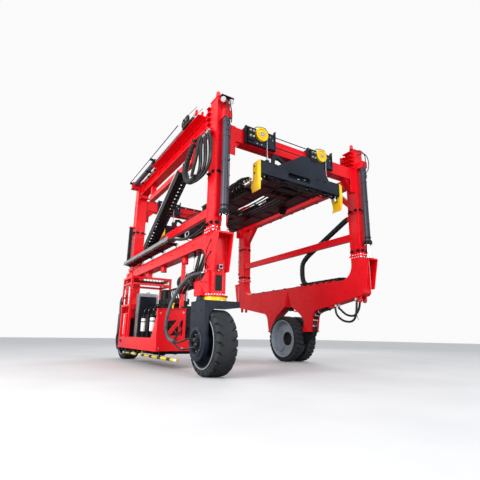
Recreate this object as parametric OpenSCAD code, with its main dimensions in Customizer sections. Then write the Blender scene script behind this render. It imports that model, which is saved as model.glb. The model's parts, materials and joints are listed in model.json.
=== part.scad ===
// Three-wheel mobile gantry for containers, with telescopic columns and a rope-hung spreader.
// Millimetres. +X is across to the right, +Y is the direction of travel, +Z is up.
// The origin is on the ground under the middle of the gantry.

/* [Gantry] */
// Distance of each column's centre line from the middle, across
track_x = 2100; // [2000:10:2150]
// Distance of each column's centre line from the middle, along the travel
base_y = 2785; // [2700:5:2900]
// Width of a column across
col_w = 300; // [260:10:340]
// Depth of a column along the travel
col_d = 330; // [300:10:360]
// Wall of a column sleeve
col_wall = 14; // [10:1:20]
// Height of the chassis flange that the sleeves rest on
flange_z = 2750; // [2650:10:2850]
// Height of the top of the sleeves
sleeve_top = 5700; // [5640:10:5900]
// Running gap between a mast and its sleeve
mast_gap = 8; // [6:1:12]

/* [Right chassis] */
// Height of the top of the right chassis beam
beam_top = 2180; // [2100:10:2250]
// Height of the underside at the ends of the right chassis beam
beam_end_z = 1740; // [1680:10:1800]
// Height of the underside beside the wheel legs
beam_mid_z = 1470; // [1400:10:1560]
// Height of the wheel legs' lower end
leg_z = 890; // [860:10:940]
// Distance of a wheel leg's outer edge from the axle
leg_out = 1020; // [960:10:1100]
// Distance of a wheel leg's inner edge from the axle
leg_in = 690; // [690:10:760]
// Height of the crown of the wheel arch
arch_z = 1620; // [1560:10:1680]

/* [Wheels] */
// Diameter of the steered tyres on the left
steer_d = 1200; // [1100:10:1240]
// Width of the steered tyres
steer_w = 430; // [360:10:440]
// Diameter of the paired drive tyres on the right
drive_d = 1330; // [1240:10:1350]
// Width of one drive tyre
drive_w = 300; // [260:10:310]
// Distance between the middles of the two drive tyres
drive_pitch = 470; // [460:5:500]
// Depth of the tread grooves
tread_h = 26; // [15:1:35]

/* [Upper frame] */
// Depth of the cross beams' underside below the sleeve tops
cross_drop = 900; // [860:10:960]
// Height of the cross beams
cross_h = 330; // [280:10:340]
// Width of the cross beams along the travel
cross_w = 250; // [200:10:260]
// Depth of the left upper beam's underside below the sleeve tops
left_beam_drop = 470; // [440:10:500]
// Height of the left upper beam
left_beam_h = 330; // [280:10:340]
// Depth of the right upper beam's underside below the sleeve tops
right_beam_drop = 980; // [950:10:1020]
// Height of the right upper beam
right_beam_h = 260; // [220:10:300]
// Height of the underside of the middle braces
brace_z = 3190; // [3100:10:3300]
// Height of the middle braces
brace_h = 190; // [150:10:220]

/* [Lift cylinders] */
// Outer diameter of a lift cylinder's barrel
barrel_d = 140; // [120:5:160]
// Diameter of a lift cylinder's rod
rod_d = 90; // [70:5:95]
// Height of the lower end of the barrels
barrel_z = 3050; // [3000:10:3120]
// Depth of the barrels' upper end below the sleeve tops
barrel_drop = 570; // [560:10:620]

/* [Spreader] */
// Half length of the spreader
spr_half_l = 3040; // [3000:10:3050]
// Half width of the spreader's end beams
spr_half_w = 1200; // [1150:10:1220]
// Height of the top of the spreader
spr_top = 4450; // [4400:10:4460]
// Height of the end beams
spr_h = 300; // [260:10:320]
// Width of the end beams along the travel
spr_d = 230; // [200:10:260]
// Diameter of the rope pulleys
pulley_d = 320; // [280:10:330]
// Diameter of the hoist ropes
rope_d = 16; // [14:1:20]

/* [Power pack] */
// Distance of the outer side of the power pack from the middle
pack_out = 2620; // [2600:5:2640]
// Distance of the inner side of the power pack from the middle
pack_in = 1450; // [1400:10:1550]
// Near end of the power pack, towards the near wheel
pack_near = -1170; // [-1300:10:-1000]
// Far end of the power pack, towards the far wheel
pack_far = 2040; // [1900:10:2060]
// Height of the underside of the power pack
pack_z = 380; // [340:10:420]
// Height of the power pack's floor beams
pack_h = 270; // [220:10:320]

/* [Hidden] */

red = "red";
navy = [0.10, 0.13, 0.19];
slate = [0.26, 0.28, 0.33];
black = [0.06, 0.06, 0.07];
chrome = [0.85, 0.86, 0.88];
yellow = [1.0, 0.72, 0.0];
rim_grey = [0.55, 0.62, 0.68];
tyre_black = [0.13, 0.13, 0.14];

seat = 0.3;
side = [-1, 1];
cross_z = sleeve_top - cross_drop;
left_beam_z = sleeve_top - left_beam_drop;
right_beam_z = sleeve_top - right_beam_drop;
barrel_len = sleeve_top - barrel_drop - barrel_z;
col_in = track_x - col_w / 2;
col_out = track_x + col_w / 2;
end_in = base_y - col_d / 2;
end_out = base_y + col_d / 2;
mast_w = col_w - 2 * (col_wall + mast_gap);
mast_d = col_d - 2 * (col_wall + mast_gap);
mast_top = sleeve_top - 200;
pad_h = 140;
pad_t = mast_gap - seat;
ladder_d = 210;
cyl_y = end_out + 130;
bracket_y = end_out + 250;
bracket_z = flange_z - 100;
bracket_foot_z = 1900;
plate = 20;
flange_t = 25;
lower_z = 1430;
slew_d = 480;
slew_h = 85;
fork_top_z = lower_z - slew_h;
hub_z = steer_d / 2;
drive_z = drive_d / 2;
fork_t = 90;
fork_x = track_x + steer_w / 2 + 30;
spindle_r = 120;
port_x = fork_x + fork_t + 15;
spr_low = spr_top - spr_h;
pulley_r = pulley_d / 2;
pulley_t = 60;
pulley_z = cross_z + 290;
pulley_xs = [-1160, 640];
near_pulley_y = -(end_out + 65);
far_pulley_y = end_in - 65;
left_top = left_beam_z + left_beam_h;
hoist_x = -col_out - 110;
hoist_y = 720;
hoist_end = end_in + 280;
hoist_bore = 90;
hoist_r = 75;
hoist_z = left_top + 90;
head_y = -1650;

// A box between two corners
module span(a, b) {
    translate(a) cube(b - a);
}

// An outline drawn in the travel and height directions, as thick as from x0 to x1
module yz(x0, x1) {
    translate([x0, 0, 0]) rotate([90, 0, 90]) linear_extrude(x1 - x0) children();
}

// An outline drawn across and in height, as thick as from y0 to y1
module xz(y0, y1) {
    translate([0, y1, 0]) rotate([90, 0, 0]) linear_extrude(y1 - y0) children();
}

// Points of an arc about c
function arc(c, r, a0, a1, n) =
    [for (i = [0:n]) [c[0] + r * cos(a0 + (a1 - a0) * i / n), c[1] + r * sin(a0 + (a1 - a0) * i / n)]];

// Lower column on the left: box leg, flange, slewing gear housing and window recess
module left_leg(s) {
    difference() {
        union() {
            span([-col_out, s * base_y - col_d / 2, lower_z], [-col_in, s * base_y + col_d / 2, flange_z - flange_t]);
            span([-col_out - 30, s * base_y - col_d / 2 - 30, flange_z - flange_t],
                [-col_in + 30, s * base_y + col_d / 2 + 30, flange_z]);
            translate([-track_x, s * base_y, lower_z]) cylinder(h = 30, d = slew_d + 20, $fn = 64);
            span([-col_out - 200, s * (base_y - 40) - 130, lower_z + 10],
                [-col_out, s * (base_y - 40) + 130, lower_z + 260]);
        }
        span([-track_x - 60, s * end_out - 15, lower_z + 120],
            [-track_x + 60, s * end_out + 15, lower_z + 400]);
    }
}
module near_left_leg() { color(red) left_leg(-1); }
module far_left_leg() { color(red) left_leg(1); }

// Beam between the left legs, with curved haunches and hanging trunnion bosses
module left_chassis_beam() {
    haunch = 330;
    low = flange_z - 290;
    high = flange_z - 25;
    near = end_in;
    color(red) {
        yz(-col_out + 20, -col_in - 20) polygon(concat(
            [[near, high], [-near, high], [-near, low - haunch]],
            arc([-near + haunch, low - haunch], haunch, 180, 90, 10),
            arc([near - haunch, low - haunch], haunch, 90, 0, 10)));
        for (y = [-1300, 100, 1400])
            translate([-track_x, y, low - 150]) cylinder(h = 150, d = 150, $fn = 40);
    }
}

// Right chassis: a deep welded beam that arches over the drive wheels on two legs
kick_r = 370;
leg_r = 260;
knee_y = end_in - kick_r;
crown_y = 180;
shoulder_y = leg_in + 10;
leg_curve = arc([leg_out + leg_r + 60, beam_mid_z - leg_r], leg_r, 85, 170, 8);
under_in = leg_curve[0];
under_out = [end_out - 60, beam_end_z];
function underside(y) = under_in[1] + (under_out[1] - under_in[1]) * (abs(y) - under_in[0]) / (under_out[0] - under_in[0]);
function mirrored(p) = [for (i = [len(p) - 1:-1:0]) [-p[i][0], p[i][1]]];
module right_chassis_beam() {
    web_cut = 25;
    half = [[shoulder_y, arch_z], under_in, [knee_y, underside(knee_y)], [knee_y, beam_top]];
    color(red) difference() {
        yz(col_in, col_out) polygon(concat(half, mirrored(half)));
        for (x = [col_in - 1, col_out - web_cut])
            yz(x, x + web_cut + 1) polygon([[-crown_y + 10, arch_z + 40], [crown_y - 10, arch_z + 40], [0, beam_top - 90]]);
    }
}

// Uprights at the ends of the right chassis, with the flanges that the columns stand on
module chassis_uprights() {
    post = concat(arc([knee_y, beam_top + kick_r], kick_r, -90, 0, 8), [[end_in, flange_z - flange_t],
        [end_out, flange_z - flange_t], [end_out, beam_end_z + 60], under_out, [knee_y, underside(knee_y)]]);
    color(red) for (s = side) {
        yz(col_in, col_out) polygon([for (p = post) [s * p[0], p[1]]]);
        span([col_in - 30, s * base_y - col_d / 2 - 30, flange_z - flange_t],
            [col_out + 30, s * base_y + col_d / 2 + 30, flange_z]);
    }
}

// Wheel legs under the right chassis beam, on both sides of the arch over the drive wheels
module wheel_legs() {
    arch = arc([0, drive_z], (arch_z - drive_z) * 0.94, 36, 62, 5);
    leg = concat([[crown_y, arch_z], [shoulder_y, arch_z]], leg_curve, [[leg_out, leg_z], [leg_in, leg_z]], arch);
    color(red) for (s = side) yz(col_in, col_out) polygon([for (p = leg) [s * p[0], p[1]]]);
}

// Axle carrier bolted under the two wheel legs, between the paired tyres
module axle_carrier() {
    carrier_w = 130;
    hub_r = 150;
    top = leg_z - flange_t;
    color(black) difference() {
        union() {
            for (s = side)
                span([col_in, s * (leg_in + leg_out) / 2 - 165, top], [col_out, s * (leg_in + leg_out) / 2 + 165, leg_z]);
            yz(track_x - carrier_w / 2, track_x + carrier_w / 2) polygon([
                [-leg_out, top], [-leg_out, top - 110], [-420, drive_z - 210], [420, drive_z - 210],
                [leg_out, top - 110], [leg_out, top], [leg_in, top], [430, drive_z + 60],
                [-430, drive_z + 60], [-leg_in, top]]);
        }
        translate([track_x - col_w, 0, drive_z]) rotate([0, 90, 0]) cylinder(h = 2 * col_w, r = hub_r + seat, $fn = 48);
    }
}

// The four masts that stand on the chassis inside the column sleeves
module inner_masts() {
    color("silver") for (sx = side, sy = side) {
        span([sx * track_x - mast_w / 2, sy * base_y - mast_d / 2, flange_z],
            [sx * track_x + mast_w / 2, sy * base_y + mast_d / 2, mast_top]);
        span([sx * track_x - mast_w / 2 - pad_t, sy * base_y - mast_d / 2 - pad_t, mast_top - pad_h],
            [sx * track_x + mast_w / 2 + pad_t, sy * base_y + mast_d / 2 + pad_t, mast_top]);
    }
}

// Lift cylinder rods, standing on the brackets and running up inside the barrels
module lift_rods() {
    eye_h = 110;
    color(chrome) for (sx = side, sy = side) translate([sx * track_x, sy * cyl_y, bracket_z]) {
        cylinder(h = barrel_z + barrel_len - 120 - bracket_z, d = rod_d, $fn = 48);
        cylinder(h = eye_h, d = rod_d + 50, $fn = 48);
    }
}

// Welded brackets on the chassis ends that carry the lift cylinders
module cylinder_brackets() {
    top_t = 40;
    taper = 150;
    color(red) for (sx = side, sy = side) {
        span([sx * track_x - col_w / 2 - plate, min(sy * end_out, sy * bracket_y), bracket_z - top_t],
            [sx * track_x + col_w / 2 + plate, max(sy * end_out, sy * bracket_y), bracket_z]);
        for (x = [sx * track_x - col_w / 2 - plate, sx * track_x + col_w / 2])
            yz(x, x + plate) polygon([[sy * end_out, bracket_z - top_t], [sy * bracket_y, bracket_z - top_t],
                [sy * (bracket_y - taper), bracket_foot_z], [sy * end_out, bracket_foot_z]]);
    }
}

// Yellow slewing rings under the left legs
module slew_rings() {
    color(yellow) for (s = side) translate([-track_x, s * base_y, fork_top_z + seat])
        cylinder(h = slew_h - seat, d = slew_d, $fn = 72);
}

// Cable tray along the outside of the left chassis beam, on brackets
tray_in = -2290;
tray_out = -2500;
tray_z = 2860;
tray_t = 6;
module cable_tray() {
    tray_h = 90;
    near = -1100;
    far = 2760;
    color("silver") {
        span([tray_out, near, tray_z], [tray_in, far, tray_z + tray_t]);
        for (x = [tray_out, tray_in - tray_t]) span([x, near, tray_z], [x + tray_t, far, tray_z + tray_h]);
        for (y = [-900, 0, 900, 1800]) {
            span([tray_out, y - 30, tray_z - 12], [-col_out + 120, y + 30, tray_z]);
            span([-col_out + 60, y - 30, flange_z - 25], [-col_out + 120, y + 30, tray_z - 12]);
        }
        span([tray_out + 30, near + 60, tray_z - 24], [-col_out + 50, end_in - 20, tray_z - 12]);
    }
}

// Base of the power pack: floor, deep side beams and the near end plate with its braced windows
pack_top = pack_z + pack_h;
module power_pack_base() {
    wall = 60;
    end_h = 900;
    end_in_x = 1960;
    color(red) {
        difference() {
            span([-pack_out, pack_near, pack_z], [-pack_in, pack_far, pack_top]);
            span([-pack_out + wall, pack_near + wall, pack_z + 80], [-pack_in - wall, pack_far - wall, pack_top + 1]);
        }
        difference() {
            xz(pack_near, pack_near + plate) polygon(
                [[-pack_out, pack_z], [-end_in_x, pack_z], [-end_in_x, pack_z + end_h + 30],
                    [-pack_out, pack_z + end_h]]);
            translate([-pack_out, 0, pack_top]) {
                xz(pack_near - 1, pack_near + plate + 1) polygon([[160, 370], [460, 400], [220, 90], [160, 90]]);
                xz(pack_near - 1, pack_near + plate + 1) polygon([[300, 60], [600, 60], [600, 400], [560, 390]]);
            }
        }
    }
}

// Frame of the operator's place: posts, rails and the hangers up to the chassis beam
frame_top = 2320;
module operator_frame() {
    post = 60;
    y0 = pack_far - 860;
    y1 = pack_far - post;
    rails = [frame_top - 840, frame_top - 240];
    color(red) {
        for (x = [-pack_out, -pack_in - post], y = [y0, y1])
            span([x, y, pack_top], [x + post, y + post, frame_top]);
        for (y = [y0, y1]) {
            for (z = concat(rails, [frame_top - post]))
                span([-pack_out + post, y, z], [-pack_in - post, y + post, z + post]);
            span([-track_x - 60, y, frame_top], [-track_x + 60, y + post, flange_z - 290]);
        }
        for (x = [-pack_out, -pack_in - post], z = concat(rails, [frame_top - post]))
            span([x, y0 + post, z], [x + post, y1, z + post]);
        span([-track_x + 20, pack_near + 60, pack_z + 80], [-track_x + 100, pack_near + 140, flange_z - 290]);
    }
}

// Engine with its hydraulic pumps, on the power pack's floor
module engine() {
    floor_z = pack_z + 80;
    out = -(pack_in + 450);
    in = -(pack_in + 110);
    mid = (out + in) / 2;
    near = pack_near + 470;
    far = pack_far - 1240;
    block_z = floor_z + 960;
    color(black) {
        span([out, near, floor_z], [in, far, floor_z + 220]);
        span([out + 20, near + 100, floor_z + 220], [in - 20, far - 100, block_z]);
        translate([mid, far - 100, floor_z + 590]) rotate([-90, 0, 0]) cylinder(h = 60, r = 260, $fn = 40);
        span([out + 60, near + 250, block_z], [in - 60, far - 300, block_z + 100]);
        translate([mid, near - 180, floor_z + 440]) rotate([-90, 0, 0]) cylinder(h = 290, r = 130, $fn = 32);
        translate([mid, near + 170, block_z]) cylinder(h = 500, r = 60, $fn = 24);
        translate([mid, near - 280, block_z + 580]) rotate([-90, 0, 0]) cylinder(h = 560, r = 200, $fn = 40);
    }
}

// Radiator with its frame, facing the near end
module radiator() {
    floor_z = pack_z + 80;
    out = 160 - pack_out;
    in = 680 - pack_out;
    near = pack_far - 1140;
    top = floor_z + 1300;
    color("silver") difference() {
        span([out, near, floor_z], [in, near + 160, top]);
        span([out + 40, near - 20, floor_z + 60], [in - 40, near + 60, top - 40]);
    }
}

// Row of white filter canisters beside the engine
module air_filters() {
    floor_z = pack_z + 80;
    color("white") for (k = [0:2]) translate([240 - pack_out, -140 + 350 * k, floor_z]) {
        cylinder(h = 260, d = 60, $fn = 24);
        translate([0, 0, 260]) cylinder(h = 420, d = 150, $fn = 32);
        translate([0, 0, 680]) cylinder(h = 60, d = 110, $fn = 32);
    }
}

// Striped guard rods low along the outside of the power pack
bar_x = 150 - pack_out;
bar_z = 240;
bars = [[-2050, 420], [800, 1900]];
module bumper_bars() {
    color("gold") for (b = bars) {
        translate([bar_x, b[0], bar_z]) rotate([-90, 0, 0]) cylinder(h = b[1] - b[0], d = 60, $fn = 24);
        for (y = [max(b[0], pack_near) + 150, b[1] - 200])
            span([bar_x - 15, y - 15, bar_z], [bar_x + 15, y + 15, pack_z]);
    }
}

// One side of a tube swept along points: rings square to the way between neighbours
function unit(v) = v / norm(v);
function way(p, i) = unit(p[min(i + 1, len(p) - 1)] - p[max(i - 1, 0)]);
function lift(v) = abs(v[0]) < 0.9 ? [1, 0, 0] : [0, 0, 1];
function ring(p, i, r, n) = let (t = way(p, i), a = unit(cross(t, lift(t))), b = cross(t, a))
    [for (k = [0:n - 1]) p[i] + r * (cos(360 * k / n) * a + sin(360 * k / n) * b)];
module tube(p, r, n = 8) {
    last = len(p) - 1;
    polyhedron(
        points = [for (i = [0:last]) each ring(p, i, r, n)],
        faces = concat([[for (k = [0:n - 1]) k]],
            [for (i = [0:last - 1], k = [0:n - 1])
                [i * n + k, (i + 1) * n + k, (i + 1) * n + (k + 1) % n, i * n + (k + 1) % n]],
            [[for (k = [n - 1:-1:0]) last * n + k]]),
        convexity = 6);
}
// A smooth path through corner points, by corner cutting
function cut(p) = concat([p[0]],
    [for (i = [0:len(p) - 2]) each [0.75 * p[i] + 0.25 * p[i + 1], 0.25 * p[i] + 0.75 * p[i + 1]]],
    [p[len(p) - 1]]);
function smooth(p, n) = n == 0 ? p : smooth(cut(p), n - 1);

// Band of height h along a path in the travel and height directions, mitred at its corners
function normal(a, b) = unit([a[1] - b[1], b[0] - a[0]]);
function mitre(p, i) = let (n0 = normal(p[max(i - 1, 0)], p[max(i, 1)]),
    n1 = normal(p[min(i, len(p) - 2)], p[min(i + 1, len(p) - 1)])) (n0 + n1) / (1 + n0 * n1);
module chain(p, x, w, h) {
    yz(x - w / 2, x + w / 2) polygon(concat([for (i = [0:len(p) - 1]) p[i] + mitre(p, i) * h / 2],
        [for (i = [len(p) - 1:-1:0]) p[i] - mitre(p, i) * h / 2]));
}

// Energy chain on the left, from the far upper beam down to the chassis
left_chain_top = 4100;
module left_drag_chain() {
    color(black) span([-2430, 2640, tray_z + tray_t], [-2330, 2730, left_chain_top]);
}

// Energy chain on the right, from the near column down to the tray on the chassis
chain_x = 2180;
chain_w = 100;
chain_h = 110;
chain_end = 2420;
chain_top = 3870;
tray_floor = 10;
module right_drag_chain() {
    low = beam_top + tray_floor + chain_h / 2 + seat;
    color(black) chain([[-chain_end, chain_top], [100 - chain_end, chain_top], [-700, 3120], [-520, 2960],
        [-460, 2800], [-460, 2500], [-540, 2340], [-700, low], [-2150, low]], chain_x, chain_w, chain_h);
}

// Open tray for the chain on top of the right chassis beam
module chain_tray() {
    near = -2200;
    far = -480;
    color("dimgray") difference() {
        span([chain_x - 90, near, beam_top], [chain_x + 65, far, beam_top + 90]);
        span([chain_x - 60, near + 20, beam_top + tray_floor], [chain_x + 55, far + 50, beam_top + 91]);
    }
}

// Drilled lugs under the ends of the right chassis, for tying the machine down
lug_t = 40;
lug_y = end_out - 170;
lug_z = beam_end_z - 110;
module tie_down_lugs() {
    color(red) for (s = side, x = [track_x - 110, track_x + 70]) difference() {
        union() {
            yz(x, x + lug_t) polygon([for (p = [[-60, 0], [60, 0]]) [s * lug_y + p[0], lug_z],
                for (d = [60, -60]) [s * lug_y + d, underside(lug_y + s * d)]]);
            translate([x, s * lug_y, lug_z]) rotate([0, 90, 0]) cylinder(h = lug_t, r = 60, $fn = 36);
        }
        translate([x - 1, s * lug_y, lug_z]) rotate([0, 90, 0]) cylinder(h = lug_t + 2, r = 30, $fn = 36);
    }
}

// Hoses slung under the near end of the right chassis and down the front of the wheel leg
hose_r = 22;
under_ends = [-2540, -1760];
module underbody_hoses() {
    low = [1120, 1260];
    for (k = [0, 1]) {
        x = track_x - 90 + 80 * k;
        a = [x, under_ends[0] - 40 * k, underside(under_ends[0] - 40 * k + hose_r) - seat];
        b = [x, under_ends[1] - 40 * k, underside(under_ends[1] - 40 * k + hose_r) - seat];
        color(black) tube(smooth([a, a - [0, 0, 160], [x, -2600, low[k] + 40], [x, -2440, low[k] - 40],
            [x, -2180, low[k] + 40], [x, b[1] - 110, b[2] - 160], b - [0, 0, 60], b], 2), hose_r);
    }
}

// Hose from the near leg round to the wheel hub
hub_route = [[-col_out - seat, -2700, 1900], [-2400, -2700, 1900], [-2560, -2480, 1860], [-2580, -2150, 1650],
    [-2580, -1850, 1250], [-2580, -1720, 850], [-2580, -1850, 600], [-2580, -2250, 540], [-2580, -2600, 580],
    [-2550, -base_y, hub_z], [-port_x - seat, -base_y, hub_z]];
module near_hub_hose() {
    color("gray") tube(smooth(hub_route, 2), 30);
}

// Half fork that carries one steered wheel: plate beside the tyre and arm over it
module fork(s) {
    arm_t = 110;
    arm_half = 300;
    plate_half = 330;
    inner = track_x - 400;
    color(navy) difference() {
        union() {
            span([-fork_x - fork_t, s * base_y - arm_half, fork_top_z - arm_t],
                [-inner, s * base_y + arm_half, fork_top_z]);
            yz(-fork_x - fork_t, -fork_x) polygon(concat(
                [[s * base_y - arm_half, fork_top_z - arm_t], [s * base_y + arm_half, fork_top_z - arm_t]],
                arc([s * base_y, hub_z], plate_half, 20, -200, 24)));
        }
        translate([-fork_x - fork_t - 1, s * base_y, hub_z]) rotate([0, 90, 0])
            cylinder(h = 41, r = 190, $fn = 64);
    }
    color(navy) translate([0, s * base_y, hub_z]) rotate([0, 90, 0]) {
        translate([0, 0, -fork_x - fork_t + 30]) cylinder(h = fork_t + steer_w - 60, r = spindle_r, $fn = 64);
        translate([0, 0, -port_x]) cylinder(h = 60, r = 48, $fn = 32);
    }
}
module near_fork() { fork(-1); }
module far_fork() { fork(1); }

// Solid tyre with notches across its shoulders
module tyre(d, w, bore, lugs) {
    rotate([0, 90, 0]) translate([0, 0, -w / 2]) difference() {
        rotate_extrude($fn = 96) polygon([[bore, 0], [d / 2 - 70, 0], [d / 2 - 20, 20], [d / 2, 60],
            [d / 2, w - 60], [d / 2 - 20, w - 20], [d / 2 - 70, w], [bore, w]]);
        for (k = [0:lugs - 1], e = [0, 1]) rotate([0, 0, 360 * (k + e / 2) / lugs])
            translate([d / 2 - tread_h, -20, e * (w - w * 0.34) - 1 + 2 * e]) cube([80, 40, w * 0.34]);
    }
}

// Steered wheel rim: band, dished disc and hub that turns in the fork
module steer_rim(s) {
    bore = steer_d * 0.39;
    color(rim_grey) translate([-track_x, s * base_y, hub_z]) rotate([0, 90, 0]) {
        translate([0, 0, -steer_w / 2]) rotate_extrude($fn = 72) polygon([
            [spindle_r + seat, 20], [190, 20], [220, 70], [bore - 40, 130], [bore - 40, 0],
            [bore, 0], [bore, steer_w], [bore - 40, steer_w], [bore - 40, 180], [220, 120],
            [190, 330], [spindle_r + seat, 330]]);
    }
}
module steer_tyre(s) {
    color(tyre_black) translate([-track_x, s * base_y, hub_z]) tyre(steer_d, steer_w, steer_d * 0.39 + seat, 22);
}
module near_left_tyre() { steer_tyre(-1); }
module far_left_tyre() { steer_tyre(1); }
module near_left_rim() { steer_rim(-1); }
module far_left_rim() { steer_rim(1); }

// Paired drive tyres on the right
drive_bore = drive_d * 0.4;
module drive_tyres() {
    color(tyre_black) for (s = side)
        translate([track_x + s * drive_pitch / 2, 0, drive_z]) tyre(drive_d, drive_w, drive_bore + seat, 26);
}

// Drive rims: deep dishes on a common hub that turns in the axle carrier
module drive_rims() {
    hub_r = 150;
    w = drive_w;
    color(rim_grey) translate([track_x, 0, drive_z]) rotate([0, 90, 0]) {
        rotate_extrude($fn = 72) for (s = side) polygon([
            [0, 0], [hub_r, 0], [hub_r, s * 75], [drive_bore - 40, s * (drive_pitch / 2 - 60)],
            [drive_bore - 40, s * (drive_pitch / 2 - w / 2)], [drive_bore, s * (drive_pitch / 2 - w / 2)],
            [drive_bore, s * (drive_pitch / 2 + w / 2)], [drive_bore - 40, s * (drive_pitch / 2 + w / 2)],
            [drive_bore - 40, s * (drive_pitch / 2 - 30)], [170, s * 120], [0, s * 120]]);
        cylinder(h = pack_out - track_x, r = hub_r - 10, $fn = 56);
        translate([0, 0, 110]) cylinder(h = pack_out - track_x - 170, r = hub_r + 40, $fn = 56);
    }
}

// Column sleeve: square tube with pads, bolted collars and the ladder head
module sleeve(sx, sy) {
    lug_h = 170;
    lug_z0 = barrel_z + barrel_len;
    color(red) {
        difference() {
            span([sx * track_x - col_w / 2, sy * base_y - col_d / 2, flange_z],
                [sx * track_x + col_w / 2, sy * base_y + col_d / 2, sleeve_top]);
            span([sx * track_x - col_w / 2 + col_wall, sy * base_y - col_d / 2 + col_wall, flange_z + pad_h],
                [sx * track_x + col_w / 2 - col_wall, sy * base_y + col_d / 2 - col_wall, sleeve_top - 20]);
            span([sx * track_x - mast_w / 2 - seat, sy * base_y - mast_d / 2 - seat, flange_z - 1],
                [sx * track_x + mast_w / 2 + seat, sy * base_y + mast_d / 2 + seat, flange_z + pad_h + 1]);
        }
        difference() {
            span([sx * track_x - col_w / 2 - 25, sy * base_y - col_d / 2 - 25, flange_z],
                [sx * track_x + col_w / 2 + 25, sy * base_y + col_d / 2 + 25, flange_z + 25]);
            span([sx * track_x - col_w / 2 + 1, sy * base_y - col_d / 2 + 1, flange_z - 1],
                [sx * track_x + col_w / 2 - 1, sy * base_y + col_d / 2 - 1, flange_z + 26]);
        }
        span([sx * track_x - 90, min(sy * (end_out - 1), sy * (cyl_y + 70)), lug_z0],
            [sx * track_x + 90, max(sy * (end_out - 1), sy * (cyl_y + 70)), lug_z0 + lug_h]);
        for (z = [sleeve_top - 560:140:sleeve_top - 20])
            span([sx * track_x - col_w / 2 + 20, min(sy * (end_in + 1), sy * (end_in - ladder_d)), z - 20],
                [sx * track_x + col_w / 2 - 20, max(sy * (end_in + 1), sy * (end_in - ladder_d)), z]);
        span([sx * track_x - col_w / 2 + 20, min(sy * (end_in - ladder_d), sy * (end_in - ladder_d + 20)), sleeve_top - 580],
            [sx * track_x + col_w / 2 - 20, max(sy * (end_in - ladder_d), sy * (end_in - ladder_d + 20)), sleeve_top - 20]);
    }
}
module near_left_sleeve() {
    sleeve(-1, -1);
    color(red) span([-col_out - 80, comb_y - 60, 4930], [-col_out + 1, comb_y, 5070]);
}
module far_left_sleeve() {
    sleeve(-1, 1);
    shelf = hoist_z - 100;
    color(red) {
        span([-2440, 2630, left_chain_top + seat], [-col_out + 1, 2740, left_chain_top + 40]);
        difference() {
            span([hoist_x - 100, end_in + 60, shelf], [-col_out + 1, end_in + 120, hoist_z + 70]);
            translate([hoist_x, end_in, hoist_z]) rotate([-90, 0, 0]) cylinder(h = 200, r = hoist_r + seat, $fn = 48);
        }
        span([hoist_x - 100, end_in + 60, shelf - 30], [-col_out + 1, end_out - 10, shelf]);
    }
}
module near_right_sleeve() {
    sleeve(1, -1);
    color(red) span([chain_x - 60, -end_in - 1, chain_top - 70], [chain_x + 60, -chain_end - seat, chain_top + 70]);
}
module far_right_sleeve() { sleeve(1, 1); }

// Cross beams between the sleeves, with knee plates at the ends
module cross_beam(s) {
    y0 = s < 0 ? -(end_out - 50) : end_out - 50 - cross_w;
    knee = 330;
    color(red) {
        span([-col_in, y0, cross_z], [col_in, y0 + cross_w, cross_z + cross_h]);
        for (sx = side) xz(y0 + 40, y0 + cross_w - 40)
            polygon([[sx * col_in, cross_z], [sx * (col_in - knee), cross_z], [sx * col_in, cross_z - knee]]);
    }
}
module front_cross_beam() { cross_beam(-1); }
module rear_cross_beam() { cross_beam(1); }

// Upper beams along the travel: the left one carries the hoist cylinder
rail_low = left_beam_z - 480;
rail_near = -1500;
rail_far = 1650;
module left_upper_beam() {
    web = 60;
    x0 = -track_x - 110;
    x1 = -track_x + 110;
    half = end_in - ladder_d;
    color(red) {
        difference() {
            span([x0, -half, left_beam_z], [x1, half, left_top]);
            for (x = [x0 - 1, x1 - web])
                span([x, -half + 60, left_beam_z + 40], [x + web + 1, half - 60, left_top - 40]);
        }
        span([hoist_x - 40, -2300, left_top - 20], [x0 + 1, hoist_y + 160, left_top]);
        for (y = [-1400, 1500])
            span([x0 + 40, y - 60, left_beam_z - 330], [x1 - 40, y + 60, left_beam_z]);
        span([x0 + 40, rail_near, rail_low], [x1 - 40, rail_far, left_beam_z - 330]);
    }
}
module right_upper_beam() {
    x0 = track_x - 100;
    x1 = track_x + 100;
    foot = 640;
    color(red) {
        span([x0, -end_in, right_beam_z], [x1, end_in, right_beam_z + right_beam_h]);
        for (s = side) yz(x0 + 30, x1 - 30) polygon([
            [s * end_in, right_beam_z - foot], [s * end_in, right_beam_z - foot + 190],
            [s * (end_in - foot + 190), right_beam_z], [s * (end_in - foot), right_beam_z]]);
    }
}

// Slim braces between the sleeves at mid height
module mid_braces() {
    brace_x = 70;
    w = 100;
    color(red) for (s = side)
        span([s * (track_x - brace_x) - w / 2, -end_in, brace_z], [s * (track_x - brace_x) + w / 2, end_in, brace_z + brace_h]);
}

// Lift cylinder barrels, hollow for their rods
module lift_barrels() {
    gland = 80;
    color(slate) for (sx = side, sy = side) translate([sx * track_x, sy * cyl_y, barrel_z])
        rotate_extrude($fn = 48) polygon([
            [rod_d / 2 + seat, 0], [barrel_d / 2 + 12, 0], [barrel_d / 2 + 12, gland], [barrel_d / 2, gland],
            [barrel_d / 2, barrel_len], [0, barrel_len], [0, barrel_len - 40],
            [rod_d / 2 + 6, barrel_len - 40], [rod_d / 2 + 6, gland], [rod_d / 2 + seat, gland]]);
}

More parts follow.
